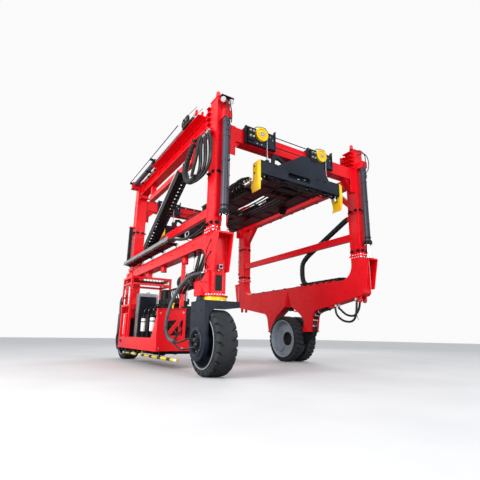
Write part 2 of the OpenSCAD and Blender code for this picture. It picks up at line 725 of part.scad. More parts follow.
// Blocks on the cross beams that carry the rope pulleys
module pulley_block(x, y) {
    half = 400;
    t = 60;
    z0 = cross_z + 20;
    z1 = cross_z + cross_h + 60;
    far = y + 35 + t;
    difference() {
        span([x - half, y + 35, z0], [x + half, far, z1]);
        translate([x - half + 60, y, z0 + 60]) cube([120, 200, 90]);
    }
    span([x - half, far - 1, cross_z + cross_h], [x + half, far + cross_w * 0.6, z1]);
    translate([x, y - 45, pulley_z]) rotate([-90, 0, 0]) cylinder(h = 90, r = 34, $fn = 32);
}
module pulley_blocks() {
    color(navy) for (x = pulley_xs, y = [near_pulley_y, far_pulley_y]) pulley_block(x, y);
}

// Grooved yellow rope pulley
module pulley(x, y) {
    r = pulley_r;
    color(yellow) translate([x, y - pulley_t / 2, pulley_z]) rotate([-90, 0, 0])
        rotate_extrude($fn = 64) polygon([[34 + seat, 0], [70, 0], [70, 14], [r - 40, 14], [r - 40, 0], [r, 0],
            [r, 8], [r - rope_d, 20], [r - rope_d, pulley_t - 20], [r, pulley_t - 8], [r, pulley_t],
            [r - 40, pulley_t], [r - 40, pulley_t - 14], [70, pulley_t - 14], [70, pulley_t], [34 + seat, pulley_t]]);
}
module near_left_pulley() { pulley(pulley_xs[0], near_pulley_y); }
module near_right_pulley() { pulley(pulley_xs[1], near_pulley_y); }
module far_left_pulley() { pulley(pulley_xs[0], far_pulley_y); }
module far_right_pulley() { pulley(pulley_xs[1], far_pulley_y); }

// Four rope falls from the pulleys to the spreader
rope_out = pulley_r - rope_d / 2;
module hoist_ropes() {
    color("silver") for (x = pulley_xs, y = [near_pulley_y, far_pulley_y])
        translate([x + rope_out, y, spr_top + 60 + seat]) cylinder(h = pulley_z - spr_top - 60 - seat, d = rope_d - 1, $fn = 16);
}

// Hoist cylinder lying outside the left upper beam, with its rope crosshead on a rail
module hoist_cylinder() {
    len = hoist_end - hoist_y;
    color(slate) translate([hoist_x, hoist_y, hoist_z]) rotate([-90, 0, 0]) rotate_extrude($fn = 48) polygon([
        [hoist_bore / 2 + seat, 0], [hoist_r + 10, 0], [hoist_r + 10, 70], [hoist_r, 70], [hoist_r, len],
        [0, len], [0, len - 40], [hoist_bore / 2 + 6, len - 40],
        [hoist_bore / 2 + 6, 70], [hoist_bore / 2 + seat, 70]]);
    color(slate) difference() {
        span([hoist_x - 90, hoist_y + 80, left_top], [hoist_x + 90, hoist_y + 120, hoist_z + 20]);
        translate([hoist_x, hoist_y + 79, hoist_z]) rotate([-90, 0, 0]) cylinder(h = 42, r = hoist_r - 1, $fn = 48);
    }
}
module hoist_rod() {
    color(chrome) translate([hoist_x, head_y + 160, hoist_z]) rotate([-90, 0, 0])
        cylinder(h = hoist_y + 200 - head_y - 160, r = hoist_bore / 2, $fn = 40);
    color(black) {
        span([hoist_x - 90, head_y - 160, left_top + seat], [hoist_x + 90, head_y + 160, left_top + 40]);
        span([hoist_x - 55, head_y - 120, left_top + 40], [hoist_x + 55, head_y + 161, hoist_z + 60]);
        for (s = side) translate([hoist_x + s * 72 - 15, head_y - 20, hoist_z + 50]) rotate([0, 90, 0])
            cylinder(h = 30, r = 120, $fn = 40);
    }
}

// Guide channel for the left hoses, leaning from the upper beam down to the tray
module chain_guide() {
    x0 = -2460;
    w = 280;
    top = [-1368, 4557];
    low = [896, 3135];
    dir = low - top;
    a = atan2(dir[1], dir[0]);
    color(black) {
        translate([x0, top[0], top[1]]) rotate([a, 0, 0]) difference() {
            translate([0, 0, -200]) cube([w, norm(dir), 200]);
            translate([20, -1, -180]) cube([w - 40, norm(dir) + 2, 181]);
        }
        span([x0 + w - 31, -1170, rail_low - 430], [x0 + w - 1, -1060, rail_low + 130]);
        span([x0 + w - 1, -1170, rail_low + 20], [-track_x - 70, -1060, rail_low + 130]);
    }
}

// Bundle of hoses from the comb on the near left column to the guide channel
comb_y = -end_in;
bundle_route = [[-2295, comb_y + seat, 5000], [-2295, comb_y + 50, 5000], [-2345, -2500, 4960],
    [-2390, -2470, 4850], [-2400, -2620, 4600], [-2400, -2700, 4350], [-2400, -2620, 4120],
    [-2400, -2380, 4010], [-2400, -2080, 4080], [-2400, -1850, 4260], [-2400, -1760, 4450],
    [-2400, -1840, 4650], [-2400, -1960, 4800]];
module hose_bundle() {
    color(black) for (e = [-46, 0, 46])
        tube(smooth([for (i = [0:len(bundle_route) - 1]) bundle_route[i] + [0, i < 3 ? 0 : 2 * e, e]], 2), hose_r);
}

// Beacons on the near column heads
module beacons() {
    color("crimson") for (s = side) translate([s * track_x - 60, -base_y, sleeve_top]) {
        cylinder(h = 60, d = 70, $fn = 24);
        translate([0, 0, 60]) cylinder(h = 110, d = 110, $fn = 32);
        translate([0, 0, 170]) sphere(d = 110, $fn = 24);
    }
}

// Work lamps on a bracket at the near left column head
module work_lamps() {
    color("dimgray") {
        span([-track_x - 20, -end_out - 160, sleeve_top - 60], [-track_x + 20, -end_out, sleeve_top - 20]);
        span([-track_x - 140, -end_out - 160, sleeve_top - 60], [-track_x + 160, -end_out - 60, sleeve_top - 40]);
        for (x = [-130, 60])
            span([-track_x + x, -end_out - 150, sleeve_top - 200], [-track_x + x + 90, -end_out - 70, sleeve_top - 60]);
    }
}

// Spreader: end beams with the gable plate, box beams, guides and locks
module end_beam(s) {
    y0 = s < 0 ? -spr_half_l : spr_half_l - spr_d;
    color(navy) {
        difference() {
            span([-spr_half_w, y0, spr_low], [spr_half_w, y0 + spr_d, spr_top]);
            hull() for (x = [-380, 180])
                translate([x, y0 - 1, spr_low + spr_h / 2]) rotate([-90, 0, 0]) cylinder(h = 80, r = 60, $fn = 24);
        }
        xz(s < 0 ? y0 : y0 + spr_d - 16, s < 0 ? y0 + 16 : y0 + spr_d)
            polygon([[-730, spr_top], [860, spr_top], [730, spr_top + 200], [670, spr_top + 400],
                [210, spr_top + 470], [20, spr_top + 460]]);
        difference() {
            xz(y0 + spr_d / 2, y0 + spr_d / 2 + 60) polygon([[-820, spr_top], [-790, spr_top + 300],
                [-640, spr_top + 330], [-330, spr_top + 160], [-260, spr_top]]);
            xz(y0 + spr_d / 2 - 1, y0 + spr_d / 2 + 61) polygon([[-730, spr_top + 60], [-710, spr_top + 230],
                [-640, spr_top + 240], [-430, spr_top + 130], [-390, spr_top + 60]]);
        }
        if (s < 0) for (x = pulley_xs)
            span([x + rope_out - 40, y0, spr_top - 1], [x + rope_out + 40, y0 + 60, spr_top + 60]);
    }
}
module near_end_beam() { end_beam(-1); }
module far_end_beam() { end_beam(1); }

module spreader_beams() {
    far = spr_half_l - spr_d;
    color("darkred") {
        for (s = side) span([s * 560 - 170, -far, spr_low + 20], [s * 560 + 170, far, spr_top - 20]);
        for (y = [-2000, 0, 2000]) span([-391, y - 120, spr_low + 40], [391, y + 120, spr_top - 40]);
        anchor_y = min(far_pulley_y + 60, far);
        for (x = pulley_xs)
            span([x + rope_out - 40, far_pulley_y - 40, spr_top - 60], [x + rope_out + 40, min(far_pulley_y + 40, far), spr_top + 60]);
        span([-1060, far_pulley_y - 60, spr_top - 160], [-729, anchor_y, spr_top - 60]);
        span([729, far_pulley_y - 60, spr_top - 160], [830, anchor_y, spr_top - 60]);
    }
}

// Flared guide plates at the four corners
module corner_guides() {
    t = 30;
    drop = 380;
    color(yellow) for (sx = side, sy = side) {
        xz(min(sy * spr_half_l, sy * (spr_half_l - spr_d - 60)), max(sy * spr_half_l, sy * (spr_half_l - spr_d - 60)))
            polygon([[sx * spr_half_w, spr_top - 20], [sx * (spr_half_w + t), spr_top - 20],
                [sx * (spr_half_w + t), spr_low + 20], [sx * (spr_half_w + t + 50), spr_low - drop + 150],
                [sx * (spr_half_w + t), spr_low - drop], [sx * spr_half_w, spr_low - drop], [sx * (spr_half_w + 10), spr_low]]);
    }
}

// Locks under the spreader's corners
lock_x = spr_half_w - 70;
lock_y = spr_half_l - spr_d / 2 + 2;
module twistlocks() {
    color(black) for (sx = side, sy = side) translate([sx * lock_x, sy * lock_y, spr_low]) {
        translate([-60, -90, -40]) cube([120, 180, 40]);
        translate([0, 0, -100]) cylinder(h = 60, r = 30, $fn = 24);
        translate([-28, -52, -135]) cube([56, 104, 35]);
    }
}

// Hydraulic gear along the left of the spreader
module spreader_gear() {
    color(black) {
        for (y = [-1900, 600]) translate([-930, y, spr_low + 120]) rotate([-90, 0, 0]) cylinder(h = 1100, r = 60, $fn = 32);
        for (y = [-1850, -900, 650, 1600]) span([-930, y - 30, spr_low + 90], [-730, y + 30, spr_low + 150]);
        span([-1000, -420, spr_low + 40], [-730, 260, spr_top - 20]);
    }
}

near_left_leg();
far_left_leg();
left_chassis_beam();
right_chassis_beam();
chassis_uprights();
wheel_legs();
axle_carrier();
inner_masts();
lift_rods();
cylinder_brackets();
slew_rings();
cable_tray();
power_pack_base();
operator_frame();
engine();
radiator();
air_filters();
bumper_bars();
left_drag_chain();
right_drag_chain();
chain_tray();
tie_down_lugs();
underbody_hoses();
near_hub_hose();
near_fork();
far_fork();
near_left_tyre();
near_left_rim();
far_left_tyre();
far_left_rim();
drive_tyres();
drive_rims();
near_left_sleeve();
far_left_sleeve();
near_right_sleeve();
far_right_sleeve();
front_cross_beam();
rear_cross_beam();
left_upper_beam();
right_upper_beam();
mid_braces();
lift_barrels();
pulley_blocks();
hoist_cylinder();
chain_guide();
hose_bundle();
beacons();
work_lamps();
hoist_rod();
near_left_pulley();
near_right_pulley();
far_left_pulley();
far_right_pulley();
hoist_ropes();
near_end_beam();
far_end_beam();
spreader_beams();
corner_guides();
twistlocks();
spreader_gear();
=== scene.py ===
"""Dresses the mobile gantry: paint, pipes, chains, hoses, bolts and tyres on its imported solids."""

import json
from math import cos, pi, radians, sin

import bmesh
import bpy
import numpy as np
from mathutils import Matrix, Vector


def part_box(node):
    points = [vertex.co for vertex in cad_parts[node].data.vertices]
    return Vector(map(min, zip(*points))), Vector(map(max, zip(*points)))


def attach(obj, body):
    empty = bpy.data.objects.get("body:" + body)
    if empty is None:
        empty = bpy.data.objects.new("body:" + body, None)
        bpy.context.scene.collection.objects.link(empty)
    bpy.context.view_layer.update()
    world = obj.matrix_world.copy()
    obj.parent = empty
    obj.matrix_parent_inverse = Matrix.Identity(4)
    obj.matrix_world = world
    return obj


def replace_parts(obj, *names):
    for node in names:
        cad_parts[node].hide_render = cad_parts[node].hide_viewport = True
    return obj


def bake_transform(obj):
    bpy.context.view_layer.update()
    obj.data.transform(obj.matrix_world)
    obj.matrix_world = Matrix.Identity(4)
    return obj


bl_info = {
    "name": "Mobile gantry dresser",
    "version": (1, 0, 0),
    "blender": (4, 5, 0),
    "location": "View3D > Sidebar > Gantry",
    "description": "Adds the finish and fittings of a three-wheel mobile gantry to its packed solids",
    "category": "Object",
}

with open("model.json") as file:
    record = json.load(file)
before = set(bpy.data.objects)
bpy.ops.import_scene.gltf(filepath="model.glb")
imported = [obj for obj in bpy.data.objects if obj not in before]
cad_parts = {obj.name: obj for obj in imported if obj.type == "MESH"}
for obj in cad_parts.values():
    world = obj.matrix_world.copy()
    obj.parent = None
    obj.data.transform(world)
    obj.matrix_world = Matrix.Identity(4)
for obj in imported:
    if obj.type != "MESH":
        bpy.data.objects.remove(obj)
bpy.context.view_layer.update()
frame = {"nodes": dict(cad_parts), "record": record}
nodes = frame["nodes"]
slot_of = {row["node"]: row["material_slot"] for row in frame["record"]["subparts"]}

# Places that the solids keep, some read from the imported model
SIDES = (-1, 1)
CORNERS = [(sx, sy) for sx in SIDES for sy in SIDES]
WINDING = ((-1, -1), (1, -1), (1, 1), (-1, 1))
COLUMN_X = 2.1
COLUMN_Y = 2.785
COLUMN_HALF_X = 0.15
COLUMN_HALF_Y = 0.165
FLANGE_Z = 2.75
SLEEVE_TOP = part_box("near_right_sleeve")[1].z
CYLINDER_Y = 3.08
FRONT_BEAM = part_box("front_cross_beam")
REAR_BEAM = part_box("rear_cross_beam")
STEER_RADIUS = 0.6
DRIVE_RADIUS = 0.665
HOIST_X, HOIST_Z = -2.36, 5.65
SPREADER_LOW, SPREADER_TOP = 4.15, 4.45
RIGHT_CHAIN_X = 2.18
LEFT_CHAIN_X, LEFT_CHAIN_Y = -2.38, 2.685
PULLEY_NAMES = ("near_left", "near_right", "far_left", "far_right")
PULLEYS = [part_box(f"{name}_pulley") for name in PULLEY_NAMES]
ROPE_SHIFT = 0.152


# Shapes


class Form:
    """Closed shapes gathered into one mesh, in the frame's metres."""

    def __init__(self):
        self.points = []
        self.faces = []

    def loft(self, rings, closed=False):
        """Skins rings of equal count. The ends are capped, or the last ring meets the first."""
        count = len(rings[0])
        start = len(self.points)
        for one in rings:
            self.points += [tuple(p) for p in one]
        steps = len(rings) if closed else len(rings) - 1
        for i in range(steps):
            a = start + i * count
            b = start + (i + 1) % len(rings) * count
            for k in range(count):
                j = (k + 1) % count
                self.faces.append((a + k, a + j, b + j, b + k))
        if not closed:
            self.faces.append(tuple(start + k for k in reversed(range(count))))
            self.faces.append(tuple(start + (len(rings) - 1) * count + k for k in range(count)))
        return self

    def block(self, low, high):
        """A box between any two opposite corners."""
        (x0, x1), (y0, y1), (z0, z1) = (sorted(pair) for pair in zip(low, high))
        outline = ((x0, y0), (x1, y0), (x1, y1), (x0, y1))
        return self.loft([[(x, y, z) for x, y in outline] for z in (z0, z1)])

    def prism(self, axis, outline, low, high):
        """An outline in the two other axes, as thick as from low to high."""
        place = {
            "x": lambda a, b, t: (t, a, b),
            "y": lambda a, b, t: (a, t, b),
            "z": lambda a, b, t: (a, b, t),
        }[axis]
        return self.loft([[place(a, b, t) for a, b in outline] for t in (low, high)])

    def turned(self, centre, axis, profile, count=32, closed=False):
        """A profile of (radius, height) points turned about an axis through centre."""
        along, across, up = axes(axis)
        round_way = [across * c + up * s for c, s in around(count)]
        return self.loft(
            [[Vector(centre) + along * h + out * r for out in round_way] for r, h in profile], closed
        )

    def rod(self, start, end, radius, count=12):
        """A round bar between two points."""
        start, end = Vector(start), Vector(end)
        return self.turned(start, end - start, [(radius, 0), (radius, (end - start).length)], count)

    def pipe(self, path, radius, count=10):
        """A round tube swept along a path without twist."""
        path = [Vector(p) for p in path]
        rings = []
        normal = None
        for i, point in enumerate(path):
            way = (path[min(i + 1, len(path) - 1)] - path[max(i - 1, 0)]).normalized()
            if normal is None:
                normal = way.orthogonal().normalized()
            normal = (normal - way * normal.dot(way)).normalized()
            side = way.cross(normal)
            rings.append([point + (normal * c + side * s) * radius for c, s in around(count)])
        return self.loft(rings)

    def elbow(self, corners, radius, bend=0.05, count=10):
        """A pipe through corners with each one rounded."""
        return self.pipe(rounded(corners, bend), radius, count)

    def hose(self, points, radius, count=10):
        """A pipe along the smooth curve through points."""
        return self.pipe(curved(points), radius, count)

    def mesh(self, name):
        """The gathered shapes as a mesh with its faces turned outwards."""
        mesh = bpy.data.meshes.new(name)
        mesh.from_pydata(self.points, [], self.faces)
        return mend(mesh)

    def piece(self, name, body, finish, ease=0.0, segments=2, crease=38):
        """Makes the piece, rounds its edges by ease and lets it ride on a body."""
        return piece(self.mesh(name), name, body, finish, ease, segments, crease)


def forms(count):
    """So many empty forms."""
    return [Form() for _ in range(count)]


def around(count, start=0.0):
    """Cosine and sine of evenly spaced turns."""
    return [(cos(start + 2 * pi * k / count), sin(start + 2 * pi * k / count)) for k in range(count)]


def plug(radius, top, base=0.0):
    """Profile of a solid disc."""
    return [(0.0, base), (radius, base), (radius, top), (0.0, top)]


def ring(inner, outer, top, base=0.0):
    """Profile of a ring with a bore."""
    return [(inner, base), (outer, base), (outer, top), (inner, top)]


def square(x, y, half_x, half_y):
    """Outline of a rectangle about its middle."""
    return [(x + a * half_x, y + b * half_y) for a, b in WINDING]


def axes(way):
    """Three unit directions, the first along way, which is a vector or the letter of an axis."""
    along = Vector([letter == way for letter in "xyz"]) if isinstance(way, str) else Vector(way)
    along.normalize()
    across = along.orthogonal().normalized()
    return along, across, along.cross(across)


def rounded(corners, bend, steps=5):
    """The path through corners with each inner one turned into an arc-like curve."""
    corners = [Vector(c) for c in corners]
    path = [corners[0]]
    for before, corner, after in zip(corners, corners[1:], corners[2:]):
        reach = min(bend, (corner - before).length / 2, (after - corner).length / 2)
        a = corner + (before - corner).normalized() * reach
        b = corner + (after - corner).normalized() * reach
        for k in range(steps + 1):
            t = k / steps
            path.append(a * (1 - t) ** 2 + corner * 2 * t * (1 - t) + b * t * t)
    return path + [corners[-1]]


def curved(points, steps=6):
    """A smooth curve that passes through every point."""
    points = [Vector(p) for p in points]
    ends = [points[0] * 2 - points[1]] + points + [points[-1] * 2 - points[-2]]
    path = []
    for a, b, c, d in zip(ends, ends[1:], ends[2:], ends[3:]):
        for k in range(steps):
            t = k / steps
            bend = a * 2 - b * 5 + c * 4 - d
            twist = b * 3 - a - c * 3 + d
            path.append((b * 2 + (c - a) * t + bend * t * t + twist * t * t * t) / 2)
    return path + [points[-1]]


def circle(centre, radius, count=32, start=0.0, end=360.0):
    """Points of an arc in two dimensions."""
    full = abs(end - start) >= 360
    last = count if full else count - 1
    return [
        (
            centre[0] + radius * cos(radians(start + (end - start) * k / last)),
            centre[1] + radius * sin(radians(start + (end - start) * k / last)),
        )
        for k in range(count)
    ]


def mend(mesh):
    """Turns the faces of a mesh outwards."""
    work = bmesh.new()
    work.from_mesh(mesh)
    bmesh.ops.remove_doubles(work, verts=work.verts, dist=1e-6)
    bmesh.ops.recalc_face_normals(work, faces=work.faces)
    work.to_mesh(mesh)
    work.free()
    return mesh


def piece(mesh, name, body, finish, ease=0.0, segments=2, crease=38):
    """An object of the mesh in a finish, riding on a body, or free where body is None."""
    mesh.name = name
    made = bpy.data.objects.new(name, mesh)
    bpy.context.scene.collection.objects.link(made)
    mesh.materials.clear()
    mesh.materials.append(coats[finish])
    mesh.shade_smooth()
    mesh.set_sharp_from_angle(angle=radians(crease))
    if ease:
        round_edges(made, ease, segments)
    if body:
        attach(made, body)
    return made


def round_edges(made, ease, segments=2):
    """Rounds an object's sharp edges with a bevel."""
    bevel = made.modifiers.new("Eased edges", "BEVEL")
    bevel.width = ease
    bevel.segments = segments
    bevel.limit_method = "ANGLE"
    bevel.angle_limit = radians(38)
    bevel.harden_normals = True
    bevel.use_clamp_overlap = True


# Node trees that repeat a part


def node(tree, kind, inputs=None, **settings):
    """A node with its settings, whose inputs are fed by sockets or by plain values."""
    made = tree.nodes.new(kind)
    for name, value in settings.items():
        setattr(made, name, value)
    for label, value in (inputs or {}).items():
        if hasattr(value, "is_linked"):
            tree.links.new(value, made.inputs[label])
        else:
            made.inputs[label].default_value = value
    return made


def tree_input(tree, name, kind="NodeSocketFloat", default=None):
    """Adds a named input to a node tree."""
    socket = tree.interface.new_socket(name, in_out="INPUT", socket_type=kind)
    if default is not None:
        socket.default_value = default


def new_tree(name, **defaults):
    """A geometry tree with a geometry input and output, and its sizes, with their group input."""
    tree = bpy.data.node_groups.new(name, "GeometryNodeTree")
    tree.is_modifier = True
    tree.interface.new_socket("Geometry", in_out="OUTPUT", socket_type="NodeSocketGeometry")
    tree_input(tree, "Geometry", "NodeSocketGeometry")
    for label, value in defaults.items():
        tree_input(tree, label, default=value)
    return tree, node(tree, "NodeGroupInput")


def grow(name, tree, base, body, finish, crease=38, **values):
    """Runs a node tree on a base mesh and keeps the result as a plain piece."""
    carrier = bpy.data.objects.new(name + "_base", base)
    bpy.context.scene.collection.objects.link(carrier)
    modifier = carrier.modifiers.new("Repeat", "NODES")
    modifier.node_group = tree
    values["Finish"] = coats[finish]
    for item in tree.interface.items_tree:
        if item.in_out == "INPUT" and item.name in values:
            modifier[item.identifier] = values[item.name]
    bpy.context.view_layer.update()
    grown = bpy.data.meshes.new_from_object(carrier.evaluated_get(bpy.context.evaluated_depsgraph_get()))
    bpy.data.objects.remove(carrier)
    return piece(grown, name, body, finish, crease=crease)


def spots_mesh(spots):
    """A mesh of loose points, each with the way that its part faces."""
    mesh = bpy.data.meshes.new("spots")
    mesh.from_pydata([tuple(place) for place, aim in spots], [], [])
    aims = mesh.attributes.new("aim", "FLOAT_VECTOR", "POINT")
    for value, (place, aim) in zip(aims.data, spots):
        value.vector = Vector(aim)
    return mesh


def path_mesh(paths):
    """A mesh of open polylines."""
    mesh = bpy.data.meshes.new("paths")
    points, edges = [], []
    for path in paths:
        start = len(points)
        points += [tuple(p) for p in path]
        edges += [(start + k, start + k + 1) for k in range(len(path) - 1)]
    mesh.from_pydata(points, edges, [])
    return mesh


def place_on_spots(tree, shape):
    """Sets a shape on every point of the base mesh, faced along its aim."""
    source = node(tree, "NodeGroupInput")
    aim = node(tree, "GeometryNodeInputNamedAttribute", {"Name": "aim"}, data_type="FLOAT_VECTOR")
    turn = node(tree, "FunctionNodeAlignRotationToVector", {"Vector": aim.outputs["Attribute"]}, axis="Z")
    return node(tree, "GeometryNodeInstanceOnPoints", {
        "Points": source.outputs["Geometry"], "Instance": shape, "Rotation": turn.outputs["Rotation"]
    }).outputs["Instances"]


def close_tree(tree, shape):
    """Realises the instances and gives them their finish."""
    tree_input(tree, "Finish", "NodeSocketMaterial")
    source = node(tree, "NodeGroupInput")
    real = node(tree, "GeometryNodeRealizeInstances", {"Geometry": shape}).outputs["Geometry"]
    paint = node(tree, "GeometryNodeSetMaterial", {"Geometry": real, "Material": source.outputs["Finish"]})
    node(tree, "NodeGroupOutput", {"Geometry": paint.outputs["Geometry"]})
    return tree


def sized(tree, source, name, factor=1.0):
    """An input's value times a factor."""
    return node(tree, "ShaderNodeMath", {0: source.outputs[name], 1: factor}, operation="MULTIPLY").outputs[0]


def moved(tree, shape, **places):
    """A shape shifted by the given coordinates."""
    shift = node(tree, "ShaderNodeCombineXYZ", places).outputs["Vector"]
    return node(tree, "GeometryNodeTransform", {"Geometry": shape, "Translation": shift}).outputs["Geometry"]


def drum(tree, sides, radius, depth, base=0.0):
    """A cylinder that stands on the origin or on a base height."""
    body = node(tree, "GeometryNodeMeshCylinder", {"Vertices": sides, "Radius": radius, "Depth": depth})
    middle = node(tree, "ShaderNodeMath", {0: depth, 1: 0.5, 2: base}, operation="MULTIPLY_ADD").outputs[0]
    return moved(tree, body.outputs["Mesh"], Z=middle)


def join(tree, *shapes):
    """Joins shapes in a node tree."""
    made = node(tree, "GeometryNodeJoinGeometry")
    for shape in reversed(shapes):
        tree.links.new(shape, made.inputs["Geometry"])
    return made.outputs["Geometry"]


def bolt_tree():
    """A hexagon head on a washer at every spot, with the end of its thread."""
    tree, source = new_tree("Bolt heads", Across=0.03)

    def of(factor):
        return sized(tree, source, "Across", factor)

    head = drum(tree, 6, of(0.56), of(0.62), of(0.1))
    washer = drum(tree, 14, of(0.86), of(0.12))
    thread = drum(tree, 8, of(0.3), of(1.0))
    return close_tree(tree, place_on_spots(tree, join(tree, head, washer, thread)))


def curve_of(tree, source):
    """The base mesh as a curve."""
    made = node(tree, "GeometryNodeMeshToCurve", {"Mesh": source.outputs["Geometry"]})
    return made.outputs["Curve"]


def ribbed_tree():
    """A tube along each path whose radius swells at every rib."""
    tree, source = new_tree("Ribbed tube", **{"Radius": 0.03, "Rib depth": 0.005, "Rib pitch": 0.03})
    finer = node(tree, "GeometryNodeResampleCurve", {
        "Curve": curve_of(tree, source), "Length": sized(tree, source, "Rib pitch", 0.25)
    }, mode="LENGTH")
    index = node(tree, "GeometryNodeInputIndex").outputs["Index"]
    phase = node(tree, "ShaderNodeMath", {0: index, 1: pi / 2}, operation="MULTIPLY").outputs[0]
    wave = node(tree, "ShaderNodeMath", {0: phase}, operation="COSINE").outputs[0]
    swell = node(tree, "ShaderNodeMath", {
        0: wave, 1: sized(tree, source, "Rib depth", 0.5), 2: source.outputs["Radius"]
    }, operation="MULTIPLY_ADD").outputs[0]
    outline = node(tree, "GeometryNodeCurvePrimitiveCircle", {"Resolution": 14, "Radius": 1.0})
    sweep = node(tree, "GeometryNodeCurveToMesh", {
        "Fill Caps": True, "Curve": finer.outputs["Curve"], "Profile Curve": outline.outputs["Curve"],
        "Scale": swell,
    })
    return close_tree(tree, sweep.outputs["Mesh"])


def link_tree():
    """Energy chain links along a path: two side plates with inner plates, two cross bars and a core each."""
    tree, source = new_tree("Energy chain", Pitch=0.06, Width=0.1, Height=0.08)
    spots = node(tree, "GeometryNodeCurveToPoints", {
        "Curve": curve_of(tree, source), "Length": source.outputs["Pitch"]
    }, mode="LENGTH")
    aim = node(tree, "FunctionNodeAlignRotationToVector", {
        "Vector": spots.outputs["Tangent"]
    }, axis="Z", pivot_axis="X")

    def of(name, factor):
        return sized(tree, source, name, factor)

    def bar(width, height, depth, **places):
        size = node(tree, "ShaderNodeCombineXYZ", {
            "X": of("Width", width), "Y": of("Height", height), "Z": of("Pitch", depth)
        }).outputs["Vector"]
        return moved(tree, node(tree, "GeometryNodeMeshCube", {"Size": size}).outputs["Mesh"], **places)

    shapes = [bar(0.12, 1.0, 0.86, X=of("Width", side * 0.44)) for side in (1, -1)]
    shapes += [bar(0.1, 0.72, 1.0, X=of("Width", side * 0.38)) for side in (1, -1)]
    shapes += [bar(0.8, 0.12, 0.42, Y=of("Height", side * 0.42)) for side in (1, -1)]
    shapes.append(bar(0.78, 0.5, 1.0))
    put = node(tree, "GeometryNodeInstanceOnPoints", {
        "Points": spots.outputs["Points"], "Rotation": aim.outputs["Rotation"],
        "Instance": join(tree, *shapes),
    })
    return close_tree(tree, put.outputs["Instances"])


trees = {}
coats = {}


def bolts(name, body, spots, across, finish="zinc"):
    """Bolt heads at the spots, each a place and the way that it faces."""
    return grow(name, trees["bolts"], spots_mesh(spots), body, finish, Across=across)


def ribbed(name, route, body, finish, radius, depth, pitch):
    """A corrugated tube along a route."""
    sizing = {"Radius": radius, "Rib depth": depth, "Rib pitch": pitch}
    return grow(name, trees["ribs"], path_mesh([route]), body, finish, **sizing)


def eased_copy(node, finish, ease, segments=2):
    """Stands in for a solid with the same shape, its plate edges rounded."""
    mesh = nodes[node].data.copy()
    work = bmesh.new()
    work.from_mesh(mesh)
    bmesh.ops.remove_doubles(work, verts=work.verts, dist=2e-5)
    bmesh.ops.dissolve_limit(work, angle_limit=radians(1.0), verts=work.verts, edges=work.edges)
    work.to_mesh(mesh)
    work.free()
    made = piece(mesh, node + "_eased", body_of_node(node), finish, ease, segments)
    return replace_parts(made, node)


def body_of_node(node):
    """The body that a solid rides on."""
    return next(body for body, members in frame["record"]["behaviour"]["bodies"].items() if node in members)


# Finishes


def new_group(name, inputs, outputs):
    """A shader group. Its inputs are colours or numbers, as their defaults are."""
    group = bpy.data.node_groups.new(name, "ShaderNodeTree")
    for label, value in inputs.items():
        kind = "NodeSocketColor" if isinstance(value, tuple) else "NodeSocketFloat"
        group.interface.new_socket(label, in_out="INPUT", socket_type=kind).default_value = value
    for label, kind in outputs.items():
        group.interface.new_socket(label, in_out="OUTPUT", socket_type=kind)
    return group, node(group, "NodeGroupInput")


def object_place(tree):
    """The Object coordinates."""
    return node(tree, "ShaderNodeTexCoord").outputs["Object"]


def along(tree, axis):
    """One of the Object coordinates."""
    return node(tree, "ShaderNodeSeparateXYZ", {"Vector": object_place(tree)}).outputs[axis]


def noise(tree, scale, detail=3.0, rough=0.5):
    """A noise on Object coordinates."""
    return node(tree, "ShaderNodeTexNoise", {
        "Vector": object_place(tree), "Scale": scale, "Detail": detail, "Roughness": rough
    }).outputs["Fac"]


def spread(tree, value, low, high, to_low=0.0, to_high=1.0):
    """Maps a range of values onto another, held at its ends."""
    return node(tree, "ShaderNodeMapRange", {
        "Value": value, "From Min": low, "From Max": high, "To Min": to_low, "To Max": to_high
    }).outputs["Result"]


def maths(tree, kind, a, b):
    """One arithmetic step on sockets or numbers."""
    return node(tree, "ShaderNodeMath", {0: a, 1: b}, operation=kind).outputs[0]


def mix(tree, factor, a, b):
    """A mix of two colours. The node's colour sockets are known by their places."""
    return node(tree, "ShaderNodeMix", {0: factor, 6: a, 7: b}, data_type="RGBA").outputs[2]


def surface_groups():
    """The effects that the finishes share: road dust, tonal drift and orange peel."""
    white, shade = (1, 1, 1, 1), {"Colour": "NodeSocketColor", "Mask": "NodeSocketFloat"}
    dust, source = new_group("Road dust", {"Colour": white, "Amount": 0.4, "Height": 1.6}, shade)
    low = spread(dust, along(dust, "Z"), 0.0, source.outputs["Height"], 1.0, 0.0)
    patches = spread(dust, noise(dust, 3.1, 6.0, 0.62), 0.38, 0.72)
    mask = maths(dust, "MULTIPLY", maths(dust, "MULTIPLY", low, patches), source.outputs["Amount"])
    dusty = mix(dust, mask, source.outputs["Colour"], (0.3, 0.26, 0.21, 1))
    node(dust, "NodeGroupOutput", {"Colour": dusty, "Mask": mask})

    drift, source = new_group(
        "Tonal drift", {"Colour": white, "Deep": (0.5, 0.5, 0.5, 1), "Scale": 1.5}, shade
    )
    mask = spread(drift, noise(drift, source.outputs["Scale"], 4.0), 0.35, 0.68)
    toned = mix(drift, mask, source.outputs["Colour"], source.outputs["Deep"])
    node(drift, "NodeGroupOutput", {"Colour": toned, "Mask": mask})

    peel, source = new_group(
        "Orange peel", {"Grain": 90.0, "Strength": 0.1, "Depth": 0.002}, {"Normal": "NodeSocketVector"}
    )
    bump = node(peel, "ShaderNodeBump", {
        "Strength": source.outputs["Strength"], "Distance": source.outputs["Depth"],
        "Height": noise(peel, source.outputs["Grain"], 2.0),
    })
    node(peel, "NodeGroupOutput", {"Normal": bump.outputs["Normal"]})
    return {"dust": dust, "drift": drift, "peel": peel}


groups = {}


